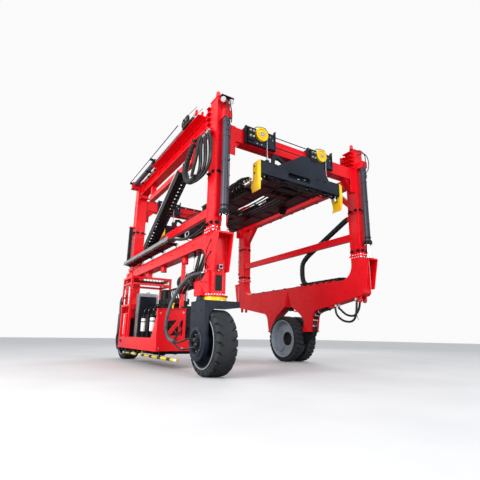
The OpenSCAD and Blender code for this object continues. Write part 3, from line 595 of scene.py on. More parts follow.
def coat(
    name, slot, colour, deep=None, rough=(0.25, 0.4), metal=0.0, clear=0.0, drift=1.5, dust=0.0, grain=90.0,
    bump=0.08, depth=0.002, shine=0.3
):
    """One finish: tonal drift, dust, a roughness that varies and a fine bump."""
    material = bpy.data.materials.new(name)
    material.use_nodes = True
    tree = material.node_tree
    shader = tree.nodes["Principled BSDF"]
    deep = deep or [c * 0.8 for c in colour]
    result = node(
        tree, "ShaderNodeGroup", {"Colour": (*colour, 1), "Deep": (*deep, 1), "Scale": drift},
        node_tree=groups["drift"],
    ).outputs["Colour"]
    wear = noise(tree, 7.0)
    if dust:
        dirt = node(tree, "ShaderNodeGroup", {"Amount": dust, "Colour": result}, node_tree=groups["dust"])
        result = dirt.outputs["Colour"]
        wear = maths(tree, "ADD", wear, maths(tree, "MULTIPLY", dirt.outputs["Mask"], 1.5))
    tree.links.new(result, shader.inputs["Base Color"])
    tree.links.new(spread(tree, wear, 0.25, 0.8, *rough), shader.inputs["Roughness"])
    for label, value in (
        ("Metallic", metal), ("Specular IOR Level", shine), ("Coat Weight", clear), ("Coat Roughness", 0.08)
    ):
        shader.inputs[label].default_value = value
    peel = node(
        tree, "ShaderNodeGroup", {"Grain": grain, "Strength": bump, "Depth": depth}, node_tree=groups["peel"]
    )
    tree.links.new(peel.outputs["Normal"], shader.inputs["Normal"])
    coats[name] = material
    return material


def striped(name, slot, first, second, pitch, start):
    """A guard rod's paint: bands of two colours along the travel."""
    material = coat(name, slot, first, rough=(0.35, 0.5), clear=0.2)
    tree = material.node_tree
    shader = tree.nodes["Principled BSDF"]
    shifted = maths(tree, "SUBTRACT", along(tree, "Y"), start)
    beat = maths(tree, "FRACT", maths(tree, "DIVIDE", shifted, pitch), 0.0)
    dark = maths(tree, "GREATER_THAN", beat, 0.62)
    before = shader.inputs["Base Color"].links[0].from_socket
    tree.links.new(mix(tree, dark, before, (*second, 1)), shader.inputs["Base Color"])


class GantrySizes(bpy.types.PropertyGroup):
    """Sizes and colours of the fittings."""

    red: bpy.props.FloatVectorProperty(
        name="Red enamel", description="Paint of the steelwork", subtype="COLOR", size=3,
        default=(0.84, 0.005, 0.013), min=0, max=1
    )
    navy: bpy.props.FloatVectorProperty(
        name="Navy enamel", description="Paint of the forks, blocks and spreader", subtype="COLOR", size=3,
        default=(0.016, 0.021, 0.034), min=0, max=1
    )
    slate: bpy.props.FloatVectorProperty(
        name="Slate enamel", description="Paint of the cylinder barrels", subtype="COLOR", size=3,
        default=(0.055, 0.062, 0.085), min=0, max=1
    )
    yellow: bpy.props.FloatVectorProperty(
        name="Yellow enamel", description="Paint of the pulleys, guides and rings", subtype="COLOR", size=3,
        default=(0.94, 0.64, 0.004), min=0, max=1
    )
    rim_grey: bpy.props.FloatVectorProperty(
        name="Rim grey", description="Paint of the rims", subtype="COLOR", size=3, default=(0.3, 0.36, 0.42),
        min=0, max=1
    )
    edge_ease: bpy.props.FloatProperty(
        name="Edge rounding", description="Radius on the plate edges", unit="LENGTH", default=0.005,
        min=0.001, max=0.01
    )
    large_bolt: bpy.props.FloatProperty(
        name="Large bolt", description="Across flats of the collar bolts", unit="LENGTH", default=0.036,
        min=0.02, max=0.05
    )
    small_bolt: bpy.props.FloatProperty(
        name="Small bolt", description="Across flats of the cover bolts", unit="LENGTH", default=0.022,
        min=0.01, max=0.03
    )
    pipe_radius: bpy.props.FloatProperty(
        name="Pipe radius", description="Radius of the oil pipes", unit="LENGTH", default=0.014, min=0.008,
        max=0.02
    )
    link_pitch: bpy.props.FloatProperty(
        name="Chain link pitch", description="Length of one energy chain link", unit="LENGTH", default=0.062,
        min=0.04, max=0.1
    )


def sizes():
    """The panel's values."""
    return bpy.context.scene.gantry_sizes


class GANTRY_OT_stage(bpy.types.Operator):
    """Sets the camera, the pale floor and the soft studio light"""

    bl_idname = "gantry.stage"
    bl_label = "Stage"

    # The fitted view: yaw, pitch and roll in degrees, the eye, and lens measures in pixels of the photo
    TURN = (31.96, 14.15, -0.84)
    EYE = (-5.355, -9.019, 0.727)
    PHOTO_SIZE, FOCAL, SHIFT = 480, 365.06, (-3.03, 3.79)
    LAMPS = (
        ("Key", (-13.0, -5.5, 5.6), 1900, (1.0, 0.98, 0.96)),
        ("Front", (1.0, -15.0, 6.0), 900, (0.95, 0.97, 1.0)),
        ("Back", (8.0, 9.0, 10.0), 500, (1.0, 1.0, 1.0)),
    )
    LAMP_SIZE = 7.0
    LAMP_TARGET = Vector((0, 0, 2.6))

    def execute(self, context):
        context.scene.view_settings.view_transform = "Standard"
        self.camera(context.scene)
        self.light(context.scene)
        floor = Form()
        floor.block((-60, -60, -0.1), (60, 60, -0.001))
        mesh = floor.mesh("Floor")
        made = bpy.data.objects.new("Floor", mesh)
        context.scene.collection.objects.link(made)
        mesh.materials.append(self.floor_paint())
        return {"FINISHED"}

    def camera(self, scene):
        """The camera in the photo's place."""
        yaw, pitch, roll = (radians(angle) for angle in self.TURN)
        forward = Vector((sin(yaw) * cos(pitch), cos(yaw) * cos(pitch), sin(pitch)))
        right = Vector((cos(yaw), -sin(yaw), 0))
        up = right.cross(forward)
        across = right * cos(roll) - up * sin(roll)
        above = right * sin(roll) + up * cos(roll)
        data = bpy.data.cameras.new("Camera")
        data.lens = self.FOCAL / self.PHOTO_SIZE * data.sensor_width
        data.shift_x, data.shift_y = (shift / self.PHOTO_SIZE for shift in self.SHIFT)
        data.clip_end = 200
        camera = bpy.data.objects.new("Camera", data)
        scene.collection.objects.link(camera)
        turned = Matrix((across, above, -forward)).transposed().to_4x4()
        camera.matrix_world = Matrix.Translation(self.EYE) @ turned
        scene.camera = camera

    def light(self, scene):
        """A soft sky with a white backdrop in it, and three area lamps."""
        world = bpy.data.worlds.new("Studio")
        scene.world = world
        world.use_nodes = True
        tree = world.node_tree
        tree.nodes.clear()
        ambient = node(tree, "ShaderNodeBackground", {"Color": (0.92, 0.96, 1.0, 1), "Strength": 0.84})
        backdrop = node(tree, "ShaderNodeBackground", {"Color": (0.96, 0.96, 0.96, 1), "Strength": 1.0})
        path = node(tree, "ShaderNodeLightPath")
        seen = maths(tree, "MAXIMUM", path.outputs["Is Camera Ray"], path.outputs["Is Glossy Ray"])
        seen = maths(tree, "MAXIMUM", seen, path.outputs["Is Transmission Ray"])
        blend = node(tree, "ShaderNodeMixShader", {
            "Fac": seen, 1: ambient.outputs["Background"], 2: backdrop.outputs["Background"]
        })
        node(tree, "ShaderNodeOutputWorld", {"Surface": blend.outputs["Shader"]})
        for label, place, power, colour in self.LAMPS:
            lamp = bpy.data.lights.new(label, "AREA")
            lamp.energy = power
            lamp.size = self.LAMP_SIZE
            lamp.color = colour
            made = bpy.data.objects.new(label, lamp)
            scene.collection.objects.link(made)
            made.location = place
            made.rotation_euler = (self.LAMP_TARGET - Vector(place)).to_track_quat("-Z", "Y").to_euler()

    @staticmethod
    def floor_paint():
        """A pale matt floor, which is darker to the light that it throws back."""
        material = bpy.data.materials.new("Pale floor")
        material.use_nodes = True
        tree = material.node_tree
        shader = tree.nodes["Principled BSDF"]
        patches = spread(tree, noise(tree, 0.6, 6.0), 0.3, 0.7)
        tone = mix(tree, patches, (0.56, 0.56, 0.57, 1), (0.62, 0.62, 0.62, 1))
        path = node(tree, "ShaderNodeLightPath")
        tone = mix(tree, path.outputs["Is Camera Ray"], (0.16, 0.16, 0.17, 1), tone)
        tree.links.new(tone, shader.inputs["Base Color"])
        shader.inputs["Roughness"].default_value = 0.7
        return material


class GANTRY_OT_finishes(bpy.types.Operator):
    """Mixes the finishes and puts each on its solids"""

    bl_idname = "gantry.finishes"
    bl_label = "Finishes"

    # Which finish a solid's slot has where no other is named
    PLAIN = {
        "red_paint": "red_enamel", "navy_paint": "navy_enamel", "barrel_paint": "slate_enamel",
        "black_steel": "black_enamel", "yellow_paint": "yellow_enamel", "rim_paint": "rim_enamel",
        "white_paint": "white_enamel", "bright_rod": "chrome", "bare_steel": "galvanised",
        "tyre_rubber": "tyre_tread", "hose_rubber": "hose_cover", "chain_plastic": "chain_plastic",
        "beacon_red": "beacon_lens",
    }

    def execute(self, context):
        s = sizes()
        groups.update(surface_groups())
        trees.update(bolts=bolt_tree(), ribs=ribbed_tree(), links=link_tree())

        def darker(colour, factor):
            return [c * factor for c in colour]

        for name, slot, colour, deep, rough, extra in (
            ("red_enamel", "red_paint", s.red, (s.red[0] * 0.86, s.red[1] * 0.6, s.red[2] * 0.7),
             (0.24, 0.38), {"clear": 0.06, "dust": 0.06, "grain": 60, "bump": 0.1, "shine": 0.16}),
            ("navy_enamel", "navy_paint", s.navy, darker(s.navy, 0.7), (0.3, 0.45),
             {"clear": 0.02, "dust": 0.03, "grain": 80, "shine": 0.12}),
            ("slate_enamel", "barrel_paint", s.slate, darker(s.slate, 0.8), (0.25, 0.4),
             {"clear": 0.06, "grain": 80, "shine": 0.2}),
            ("black_enamel", "black_steel", (0.014, 0.014, 0.016), (0.008, 0.008, 0.009), (0.34, 0.5),
             {"clear": 0.02, "dust": 0.03, "shine": 0.1}),
            ("yellow_enamel", "yellow_paint", s.yellow, (0.84, 0.46, 0.002), (0.25, 0.4),
             {"clear": 0.1, "grain": 80}),
            ("rim_enamel", "rim_paint", s.rim_grey, darker(s.rim_grey, 0.85), (0.35, 0.5),
             {"clear": 0.05, "dust": 0.3, "grain": 120}),
            # Dark maroon for the spreader beams, the roof mesh and the lamp bracket; on the tray panel it is
            # painted shade of an underside.
            ("maroon_enamel", "navy_paint", (0.06, 0.006, 0.01), (0.04, 0.004, 0.007), (0.35, 0.5),
             {"dust": 0.1, "shine": 0.15}),
            ("white_enamel", "white_paint", (0.8, 0.8, 0.78), (0.7, 0.7, 0.67), (0.3, 0.45), {"clear": 0.3}),
            ("chrome", "bright_rod", (0.86, 0.87, 0.88), (0.8, 0.81, 0.83), (0.06, 0.14),
             {"metal": 1.0, "bump": 0.02}),
            ("zinc", "bare_steel", (0.6, 0.61, 0.62), (0.48, 0.49, 0.5), (0.28, 0.48),
             {"metal": 1.0, "drift": 6.0, "bump": 0.1, "grain": 160}),
            ("galvanised", "bare_steel", (0.42, 0.44, 0.45), (0.3, 0.32, 0.34), (0.32, 0.55),
             {"metal": 0.9, "drift": 9.0, "bump": 0.1, "grain": 140}),
            ("tyre_tread", "tyre_rubber", (0.024, 0.027, 0.031), (0.032, 0.035, 0.039), (0.62, 0.85),
             {"drift": 5.0, "dust": 0.05, "grain": 220, "bump": 0.35, "depth": 0.003, "shine": 0.15}),
            ("hose_cover", "hose_rubber", (0.014, 0.014, 0.016), (0.022, 0.022, 0.024), (0.22, 0.38),
             {"drift": 6.0, "grain": 400, "bump": 0.12, "shine": 0.25}),
            ("grey_hose", "hose_rubber", (0.105, 0.11, 0.125), (0.075, 0.08, 0.09), (0.4, 0.55),
             {"drift": 8.0, "grain": 300}),
            ("chain_plastic", "chain_plastic", (0.016, 0.016, 0.018), (0.028, 0.028, 0.03), (0.36, 0.55),
             {"drift": 4.0, "grain": 300, "shine": 0.15}),
            ("beacon_lens", "beacon_red", (0.75, 0.03, 0.04), (0.6, 0.01, 0.02), (0.08, 0.16),
             {"clear": 0.8, "grain": 40}),
            ("brass", "bare_steel", (0.72, 0.5, 0.2), (0.58, 0.38, 0.14), (0.25, 0.4), {"metal": 1.0}),
        ):
            coat(name, slot, colour, deep, rough, **extra)
        striped("guard_stripes", "yellow_paint", (0.9, 0.62, 0.02), (0.02, 0.02, 0.02), 0.56, -2.62)
        for name, made in nodes.items():
            for place in made.material_slots:
                place.material = coats[self.PLAIN[slot_of[name]]]
        return {"FINISHED"}


class GANTRY_OT_columns(bpy.types.Operator):
    """Adds the collars, corner angles, caps and bolts of the telescopic columns"""

    bl_idname = "gantry.columns"
    bl_label = "Columns"

    HOUSING = [(0.04, -0.002), (0.04, 0.01), (0.03, 0.012), (0.03, 0.03), (0.024, 0.034)]

    def execute(self, context):
        s = sizes()
        for name in ("near_left", "far_left", "near_right", "far_right"):
            eased_copy(name + "_sleeve", "red_enamel", s.edge_ease)
        strips, pads, caps = forms(3)
        frame_bolts, base_bolts, sockets = [], [], []
        angle_low, angle_high = FLANGE_Z + 0.26, SLEEVE_TOP - 0.62
        leg, sheet = 0.052, 0.007
        hx, hy = COLUMN_HALF_X, COLUMN_HALF_Y
        for sx, sy in CORNERS:
            x, y = sx * COLUMN_X, sy * COLUMN_Y
            for cx, cy in WINDING:
                a, b = x + cx * hx, y + cy * hy
                strips.block((a, b, angle_low), (a - cx * leg, b + cy * sheet, angle_high))
                strips.block((a, b, angle_low), (a + cx * sheet, b - cy * leg, angle_high))
            caps.prism("z", square(x, y, hx + 0.012, hy + 0.012), SLEEVE_TOP - 0.012, SLEEVE_TOP + 0.01)
            for z in (FLANGE_Z + 0.13, FLANGE_Z + 1.22):
                for way, half, reach in (
                    ((0, -1, 0), hx, hy), ((0, 1, 0), hx, hy), ((-1, 0, 0), hy, hx), ((1, 0, 0), hy, hx)
                ):
                    aim = Vector(way)
                    run = Vector((-aim.y, aim.x, 0))
                    middle = Vector((x, y, z)) + aim * reach
                    for t in (-0.62, 0.62):
                        spot = middle + run * half * t
                        pads.turned(spot, way, self.HOUSING, 18)
                        frame_bolts.append((spot + aim * 0.034, way))
                    sockets += [(middle + run * half * t, way) for t in (-0.24, 0.24)]
            for k in range(-2, 3):
                for edge in SIDES:
                    for dx, dy in ((k * 0.078, edge * (hy + 0.0125)), (edge * (hx + 0.0125), k * 0.084)):
                        base_bolts.append(((x + dx, y + dy, FLANGE_Z + 0.025), (0, 0, 1)))
        strips.piece("column_corner_angles", "upper_frame", "red_enamel", 0.003)
        caps.piece("column_caps", "upper_frame", "red_enamel", 0.004)
        pads.piece("slide_pad_housings", "upper_frame", "black_enamel")
        bolts("slide_pad_bolts", "upper_frame", frame_bolts, s.large_bolt, "black_enamel")
        bolts("column_collar_bolts", "upper_frame", sockets, s.small_bolt, "black_enamel")
        bolts("column_flange_bolts", "upper_frame", base_bolts, 0.02)
        self.collars()
        self.mast_feet()
        return {"FINISHED"}

    def collars(self):
        """Red collars above and below the sleeves' pad housings."""
        rings = Form()
        for sx, sy in CORNERS:
            outer = square(sx * COLUMN_X, sy * COLUMN_Y, COLUMN_HALF_X + 0.014, COLUMN_HALF_Y + 0.014)
            for z in (FLANGE_Z + 0.19, FLANGE_Z + 1.155):
                rings.prism("z", outer, z - 0.008, z + 0.008)
        rings.piece("column_collars", "upper_frame", "red_enamel", 0.003)

    def mast_feet(self):
        """Bolts through the chassis flanges at the feet of the masts."""
        spots = []
        for sx, sy in CORNERS:
            x, y = sx * COLUMN_X, sy * COLUMN_Y
            for t in (-1, -0.6, -0.2, 0.2, 0.6, 1):
                for edge in SIDES:
                    for dx, dy in ((t * 0.155, edge * 0.18), (edge * 0.165, t * 0.165)):
                        spots.append(((x + dx, y + dy, FLANGE_Z - 0.025), (0, 0, -1)))
        bolts("chassis_flange_bolts", "chassis", spots, 0.022)


class GANTRY_OT_lift_cylinders(bpy.types.Operator):
    """Adds glands, clevises, oil pipes and hoses to the four lift cylinders"""

    bl_idname = "gantry.lift_cylinders"
    bl_label = "Lift cylinders"

    FOOT_Z = 2.65
    GLAND = [(0.0465, 0), (0.094, 0), (0.1, 0.008), (0.1, 0.085), (0.092, 0.1), (0.0465, 0.1)]
    GLAND_LIP = [(0.071, 0), (0.08, 0.004), (0.08, 0.03), (0.071, 0.034)]
    HEAD = [(0.071, 0), (0.082, 0.006), (0.082, 0.055), (0.071, 0.061)]
    PORT = [(0.026, 0), (0.026, 0.028), (0.02, 0.03), (0.02, 0.044)]
    FOOT_RING = [(0.0705, 0.0), (0.098, 0.0), (0.098, 0.022), (0.088, 0.03), (0.0705, 0.03)]
    # Two hoses over each head: across, outwards and up from the head
    LOOPS = (
        ((-0.06, 0.075, -0.28), (-0.05, 0.11, -0.12), (-0.02, 0.085, 0.16), (-0.05, -0.02, 0.34),
         (-0.09, -0.14, 0.38)),
        ((0.06, 0.075, -0.28), (0.075, 0.12, -0.1), (0.06, 0.1, 0.12), (0.03, 0.02, 0.26),
         (0.0, -0.14, 0.3)),
    )

    def execute(self, context):
        low, high = (corner.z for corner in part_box("lift_barrels"))
        glands, heads, pipes, hoses, clamps, eyes = forms(6)
        bolts_up, bolts_down = [], []
        for sx, sy in CORNERS:

            def at(x, outwards, z):
                return Vector((sx * COLUMN_X + x, sy * (CYLINDER_Y + outwards), z))

            glands.turned(at(0, 0, low - 0.035), "z", self.GLAND, 40, closed=True)
            glands.turned(at(0, 0, low + 0.13), "z", self.GLAND_LIP, 40, closed=True)
            bolts_up += [(at(0.083 * c, 0.083 * s, low - 0.035), (0, 0, -1)) for c, s in around(8)]
            heads.turned(at(0, 0, high - 0.1), "z", self.HEAD, 40, closed=True)
            heads.turned(at(0, 0.066, high - 0.16), (0, sy, 0), self.PORT, 16)
            heads.block(at(-0.045, 0.02, high - 0.3), at(0.045, 0.08, high - 0.2))
            side = -sx * 0.045
            pipes.elbow([
                at(0, 0.106, high - 0.16), at(side, 0.126, high - 0.21), at(side, 0.088, high - 0.42),
                at(side, 0.088, low + 0.2), at(side * 0.6, 0.078, low + 0.09),
            ], 0.009, 0.04)
            for z in (low + 0.5, low + 1.1, low + 1.65):
                clamps.turned(at(0, 0, z), "z", ring(0.0702, 0.0755, 0.03), 32, closed=True)
                clamps.block(at(side - 0.016, 0.068, z), at(side + 0.016, 0.1, z + 0.03))
            for loop in self.LOOPS:
                hoses.hose([at(sx * a, 0.02 + b, high + 0.155 + h) for a, b, h in loop], 0.012)
            eyes.turned(at(0, 0, self.FOOT_Z), "z", self.FOOT_RING, 36, closed=True)
            bolts_down += [(at(0.112 * c, 0.112 * s, self.FOOT_Z), (0, 0, 1)) for c, s in around(6)]
        glands.piece("cylinder_glands", "upper_frame", "black_enamel")
        heads.piece("cylinder_heads", "upper_frame", "slate_enamel", 0.003)
        pipes.piece("cylinder_pipes", "upper_frame", "black_enamel")
        clamps.piece("cylinder_pipe_clamps", "upper_frame", "slate_enamel", 0.002)
        hoses.piece("cylinder_hoses", "upper_frame", "hose_cover")
        eyes.piece("rod_foot_rings", "chassis", "zinc")
        bolts("gland_bolts", "upper_frame", bolts_up, 0.014)
        bolts("rod_foot_bolts", "chassis", bolts_down, 0.022)
        eased_copy("cylinder_brackets", "red_enamel", sizes().edge_ease)
        return {"FINISHED"}


class GANTRY_OT_upper_beams(bpy.types.Operator):
    """Adds the pipe runs, pipe clamps, stiffeners, plates and bolts of the upper beams"""

    bl_idname = "gantry.upper_beams"
    bl_label = "Upper beams"

    def execute(self, context):
        s = sizes()
        for name in (
            "front_cross_beam", "rear_cross_beam", "left_upper_beam", "right_upper_beam", "mid_braces"
        ):
            eased_copy(name, "red_enamel", s.edge_ease)
        pipes, clamps, plates = forms(3)
        spots = []
        for box, front in ((FRONT_BEAM, -1), (REAR_BEAM, 1)):
            self.cross_beam(box, front, s.pipe_radius, pipes, clamps, plates, spots)
        left_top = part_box("left_upper_beam")[1].z
        plates.block((-2.225, -2.4, left_top - 0.018), (-1.975, 2.4, left_top + 0.004))
        plates.block((-2.222, -2.4, 5.222), (-1.978, 2.4, 5.24))
        for y in (-2.1, -1.7, -0.9, -0.3, 0.3, 0.9, 1.9):
            for x in (-2.208, -2.05):
                plates.block((x, y - 0.006, 5.24), (x + 0.058, y + 0.006, 5.55))
        spots += [((-2.17, y, z), (-1, 0, 0)) for y in (-1.2, -0.6, 0.0, 0.6, 1.2) for z in (4.8, 4.86)]
        for y in (-1.8, -1.2, -0.6, 0, 0.6, 1.2, 1.8):
            plates.block((1.985, y - 0.05, 4.712), (2.215, y + 0.05, 4.722))
        for z in (4.9, 4.86):
            pipes.elbow([(1.985, -2.3, z), (1.985, 2.3, z)], 0.012)
        for y in (-2.0, -1.2, -0.4, 0.4, 1.2, 2.0):
            clamps.block((1.966, y - 0.02, 4.84), (2.001, y + 0.02, 4.92))
        pipes.piece("beam_pipes", "upper_frame", "black_enamel")
        clamps.piece("beam_pipe_clamps", "upper_frame", "zinc", 0.003)
        plates.piece("beam_plates", "upper_frame", "red_enamel", 0.002)
        bolts("beam_bolts", "upper_frame", spots, 0.018, "red_enamel")
        return {"FINISHED"}

    @staticmethod
    def cross_beam(box, front, radius, pipes, clamps, plates, spots):
        """Three pipes in clamps on a cross beam, its end plates and three stiffeners."""
        low, top = box[0].z, box[1].z
        middle = (box[0].y + box[1].y) / 2
        for k in range(3):
            y = middle - front * (0.035 + 0.034 * k)
            z = top + 0.016 + radius
            raised = z + 0.1 - 0.03 * k
            pipes.elbow([
                (-1.93, y, raised), (-1.86 + 0.03 * k, y, raised), (-1.8 + 0.03 * k, y, z),
                (1.78 - 0.04 * k, y, z), (1.86 - 0.04 * k, y, z + 0.09), (1.94, y, z + 0.09),
            ], radius, 0.04)
        cover = top + 0.03 + radius
        for x in (-1.62, -1.36, -0.52, -0.2, 0.12, 1.2, 1.5):
            near, far = middle - front * 0.125 - 0.012, middle - front * 0.012 + 0.012
            clamps.block((x - 0.018, near, top - 0.001), (x + 0.018, far, cover))
            spots += [((x, middle - front * t, cover), (0, 0, 1)) for t in (0.018, 0.119)]
        face = box[0].y if front < 0 else box[1].y
        for x in (-1.86, 1.86):
            plates.block((x - 0.09, face, low - 0.02), (x + 0.09, face + front * 0.008, top + 0.012))
            spots += [
                ((x + dx, face + front * 0.008, z), (0, front, 0))
                for dx in (-0.055, 0.055) for z in (low + 0.04, low + 0.165, top - 0.04)
            ]
        for x in (-0.68, 0.12, 1.16):
            plates.block((x - 0.006, box[0].y, top - 0.342), (x + 0.006, box[1].y, top - 0.329))


class GANTRY_OT_hoist(bpy.types.Operator):
    """Adds the pulley blocks' fittings, the tie rods, the ropes and the hoist cylinder's gear"""

    bl_idname = "gantry.hoist"
    bl_label = "Hoist gear"

    VALVE_PORT = [(0.026, 0), (0.026, 0.014), (0.019, 0.016), (0.019, 0.034), (0.011, 0.036)]
    AXLE_NUT = [(0.0, 0), (0.036, 0), (0.042, 0.004), (0.042, 0.016), (0.0, 0.016)]
    HUB_RIDGE = [(0.07, 0.0), (0.076, -0.002), (0.084, 0.0), (0.084, 0.016), (0.07, 0.016)]
    WEB_RIDGE = [(0.118, 0.0), (0.122, -0.004), (0.156, -0.004), (0.16, 0.0), (0.16, 0.008), (0.118, 0.01)]
    SOCKET = [(0.008, 0.1), (0.014, 0.09), (0.018, 0.02), (0.022, 0.0), (0.0, 0.0)]
    SHEAVE = [
        (0.0, 0), (0.03, 0), (0.034, 0.004), (0.1, 0.006), (0.118, 0.0), (0.118, 0.006), (0.106, 0.018),
        (0.118, 0.03), (0.118, 0.036), (0.1, 0.03), (0.034, 0.032), (0.03, 0.036), (0.0, 0.036),
    ]
    TUBE_X, TUBE_Z = -2.25, 5.6

    def execute(self, context):
        eased_copy("pulley_blocks", "navy_enamel", sizes().edge_ease)
        plates, valves, ports, nuts, guards, rods = forms(6)
        spots = []
        for name, box in zip(PULLEY_NAMES, PULLEYS):
            c = (box[0] + box[1]) / 2
            face = c.y + 0.035
            plates.block((c.x + 0.385, face - 0.025, 4.8), (c.x + 0.402, face + 0.06, 5.3))
            plates.block((c.x - 0.402, face - 0.015, 4.8), (c.x - 0.385, face + 0.06, 5.22))
            plates.block((c.x - 0.385, face - 0.012, 5.185), (c.x + 0.385, face + 0.02, 5.205))
            cheek = ((0.21, 4.83), (0.38, 4.83), (0.38, 4.9), (0.3, 4.96), (0.23, 4.92))
            plates.prism("y", [(c.x + dx, z) for dx, z in cheek], face - 0.018, face + 0.001)
            valves.block((c.x - 0.37, face - 0.075, 4.86), (c.x - 0.2, face + 0.002, 5.15))
            valves.block((c.x - 0.36, face - 0.05, 4.79), (c.x - 0.24, face + 0.002, 4.86))
            for dx, z in ((-0.325, 5.08), (-0.245, 5.08), (-0.325, 4.95), (-0.245, 4.95)):
                ports.turned((c.x + dx, face - 0.072, z), (0, -1, 0), self.VALVE_PORT, 16)
            for dx, z in (
                (-0.1, 4.86), (0.02, 4.86), (0.14, 5.155), (0.26, 5.12), (0.33, 5.06), (0.33, 4.93)
            ):
                spots.append(((c.x + dx, face, z), (0, -1, 0)))
            keeper = (
                (-0.175, face + 0.01, 5.16), (-0.175, c.y, 5.22), (-0.02, c.y, 5.275),
                (0.1, c.y, 5.275), (0.185, c.y, 5.18), (0.185, face + 0.01, 5.15),
            )
            guards.elbow([(c.x + dx, y, z) for dx, y, z in keeper], 0.008, 0.03)
            nuts.turned((c.x, c.y - 0.052, c.z), "y", self.AXLE_NUT, 6)
            self.sheave(name, c)
        for y in (PULLEYS[0][0].y + 0.045, PULLEYS[2][0].y + 0.045):
            for z in (4.9, 5.145):
                rods.rod((-0.755, y, z), (0.255, y, z), 0.011)
                spots += [((x, y, z), (way, 0, 0)) for x, way in ((-0.745, 1), (0.245, -1))]
        plates.piece("block_plates", "upper_frame", "navy_enamel", 0.002)
        valves.piece("block_valves", "upper_frame", "black_enamel", 0.004)
        ports.piece("block_ports", "upper_frame", "galvanised")
        nuts.piece("pulley_axle_nuts", "upper_frame", "galvanised", 0.002)
        guards.piece("rope_keepers", "upper_frame", "black_enamel")
        rods.piece("block_tie_rods", "upper_frame", "black_enamel")
        bolts("block_bolts", "upper_frame", spots, 0.018)
        self.ropes()
        self.crosshead()
        self.cylinder()
        return {"FINISHED"}

    def sheave(self, name, c):
        """The ridges and bolts that turn with one pulley, and the socket of its rope."""
        front = c.y - 0.03
        spokes = [((c.x + 0.052 * a, front, c.z + 0.052 * b), (0, -1, 0)) for a, b in around(6)]
        ridges, clevis = forms(2)
        ridges.turned((c.x, front, c.z), "y", self.HUB_RIDGE, 48, closed=True)
        ridges.turned((c.x, front, c.z), "y", self.WEB_RIDGE, 64, closed=True)
        ridges.piece(name + "_pulley_rings", name + "_sheave", "yellow_enamel")
        bolts(name + "_pulley_bolts", name + "_sheave", spokes, 0.016)
        x = c.x + ROPE_SHIFT
        clevis.turned((x, c.y, 4.535), "z", self.SOCKET, 16)
        clevis.block((x - 0.028, c.y - 0.012, 4.47), (x + 0.028, c.y + 0.012, 4.545))
        clevis.piece(name + "_rope_socket", "spreader", "zinc", 0.003)

    def ropes(self):
        """The four stranded ropes from the pulleys down to the spreader."""
        low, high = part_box("hoist_ropes")
        strands = Form()
        steps, lay, radii = 46, 9, (0.0092, 0.0072)
        for box in PULLEYS:
            x, y = (box[0].x + box[1].x) / 2 + ROPE_SHIFT, (box[0].y + box[1].y) / 2
            rings = []
            for k in range(steps + 1):
                z = low.z + (high.z - low.z) * k / steps
                star = zip(radii * 6, around(12, 2 * pi * k / lay))
                rings.append([(x + r * c, y + r * s, z) for r, (c, s) in star])
            strands.loft(rings)
        made = strands.piece("stranded_ropes", None, "galvanised")
        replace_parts(made, "hoist_ropes")
        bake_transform(made)

    def crosshead(self):
        """The crosshead on the left beam: its sheaves, cheeks and ropes, and the ropes' anchor."""
        x, z = HOIST_X, HOIST_Z
        sheaves, cheeks, ropes, ends = forms(4)
        spots = []
        cheek = [
            (-1.8, z - 0.05), (-1.47, z - 0.05), (-1.45, z + 0.03), (-1.51, z + 0.13), (-1.75, z + 0.13),
            (-1.82, z + 0.05),
        ]
        for side in SIDES:
            off = x + side * 0.072
            for y in (-1.72, -1.55):
                sheaves.turned((off - 0.018, y, z + 0.055), "x", self.SHEAVE, 40)
                spots.append(((x + side * 0.092, y, z + 0.055), (side, 0, 0)))
            cheeks.prism("x", cheek, x + side * 0.05 - 0.005, x + side * 0.05 + 0.005)
            for h in (0.165, -0.045):
                ropes.rod((off, -1.63, z + h), (off, -2.28, z + h * 0.6), 0.007, 8)
        sheaves.piece("crosshead_sheaves", "hoist_ram", "black_enamel")
        cheeks.piece("crosshead_cheeks", "hoist_ram", "black_enamel", 0.003)
        bolts("crosshead_bolts", "hoist_ram", spots, 0.03)
        stretched = ropes.piece("crosshead_ropes", None, "galvanised")
        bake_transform(stretched)
        for side in SIDES:
            off = x + side * 0.072
            ends.prism(
                "x", [(-2.3, 5.55), (-2.2, 5.55), (-2.24, 5.66), (-2.3, 5.66)], off - 0.02, off + 0.02
            )
        ends.piece("rope_anchor", "upper_frame", "red_enamel", 0.004)

    def cylinder(self):
        """The tubes on the left beam, the hoist cylinder's caps, pipe and rod, and its guide rail."""
        x, z = HOIST_X, HOIST_Z
        tubes, clamps, cap, line, rod, rail = forms(6)
        for k, radius in enumerate((0.013, 0.013, 0.01)):
            tube_x = self.TUBE_X + 0.035 * k
            way = [
                (tube_x, 2.55, self.TUBE_Z), (tube_x, -1.86, self.TUBE_Z), (tube_x, -2.1, self.TUBE_Z - 0.04)
            ]
            tubes.elbow(way, radius, 0.05)
        for y in (2.3, 1.7, 1.1, 0.5, -0.1, -0.7, -1.3, -1.75):
            clamps.block((-2.275, y - 0.016, 5.559), (-2.155, y + 0.016, 5.62))
        clamps.block((x - 0.085, 1.3, 5.559), (x + 0.085, 1.36, 5.6))
        tubes.piece("beam_top_tubes", "upper_frame", "galvanised")
        clamps.piece("beam_top_clamps", "upper_frame", "black_enamel", 0.003)
        front = [(0.0455, 0), (0.088, 0), (0.092, 0.006), (0.092, 0.055), (0.0455, 0.055)]
        cap.turned((x, 0.7, z), "y", front, 40, closed=True)
        cap.turned(
            (x, 2.86, z), "y", [(0.0, 0.0), (0.084, 0), (0.088, 0.01), (0.088, 0.055), (0.0, 0.055)], 40
        )
        nipple = [(0.0, 0), (0.02, 0), (0.02, 0.03), (0.014, 0.032), (0.014, 0.05), (0, 0.05)]
        for y in (0.95, 2.62):
            cap.turned((x, y, z + 0.07), "z", nipple, 14)
        cap.piece("hoist_cylinder_caps", "upper_frame", "black_enamel")
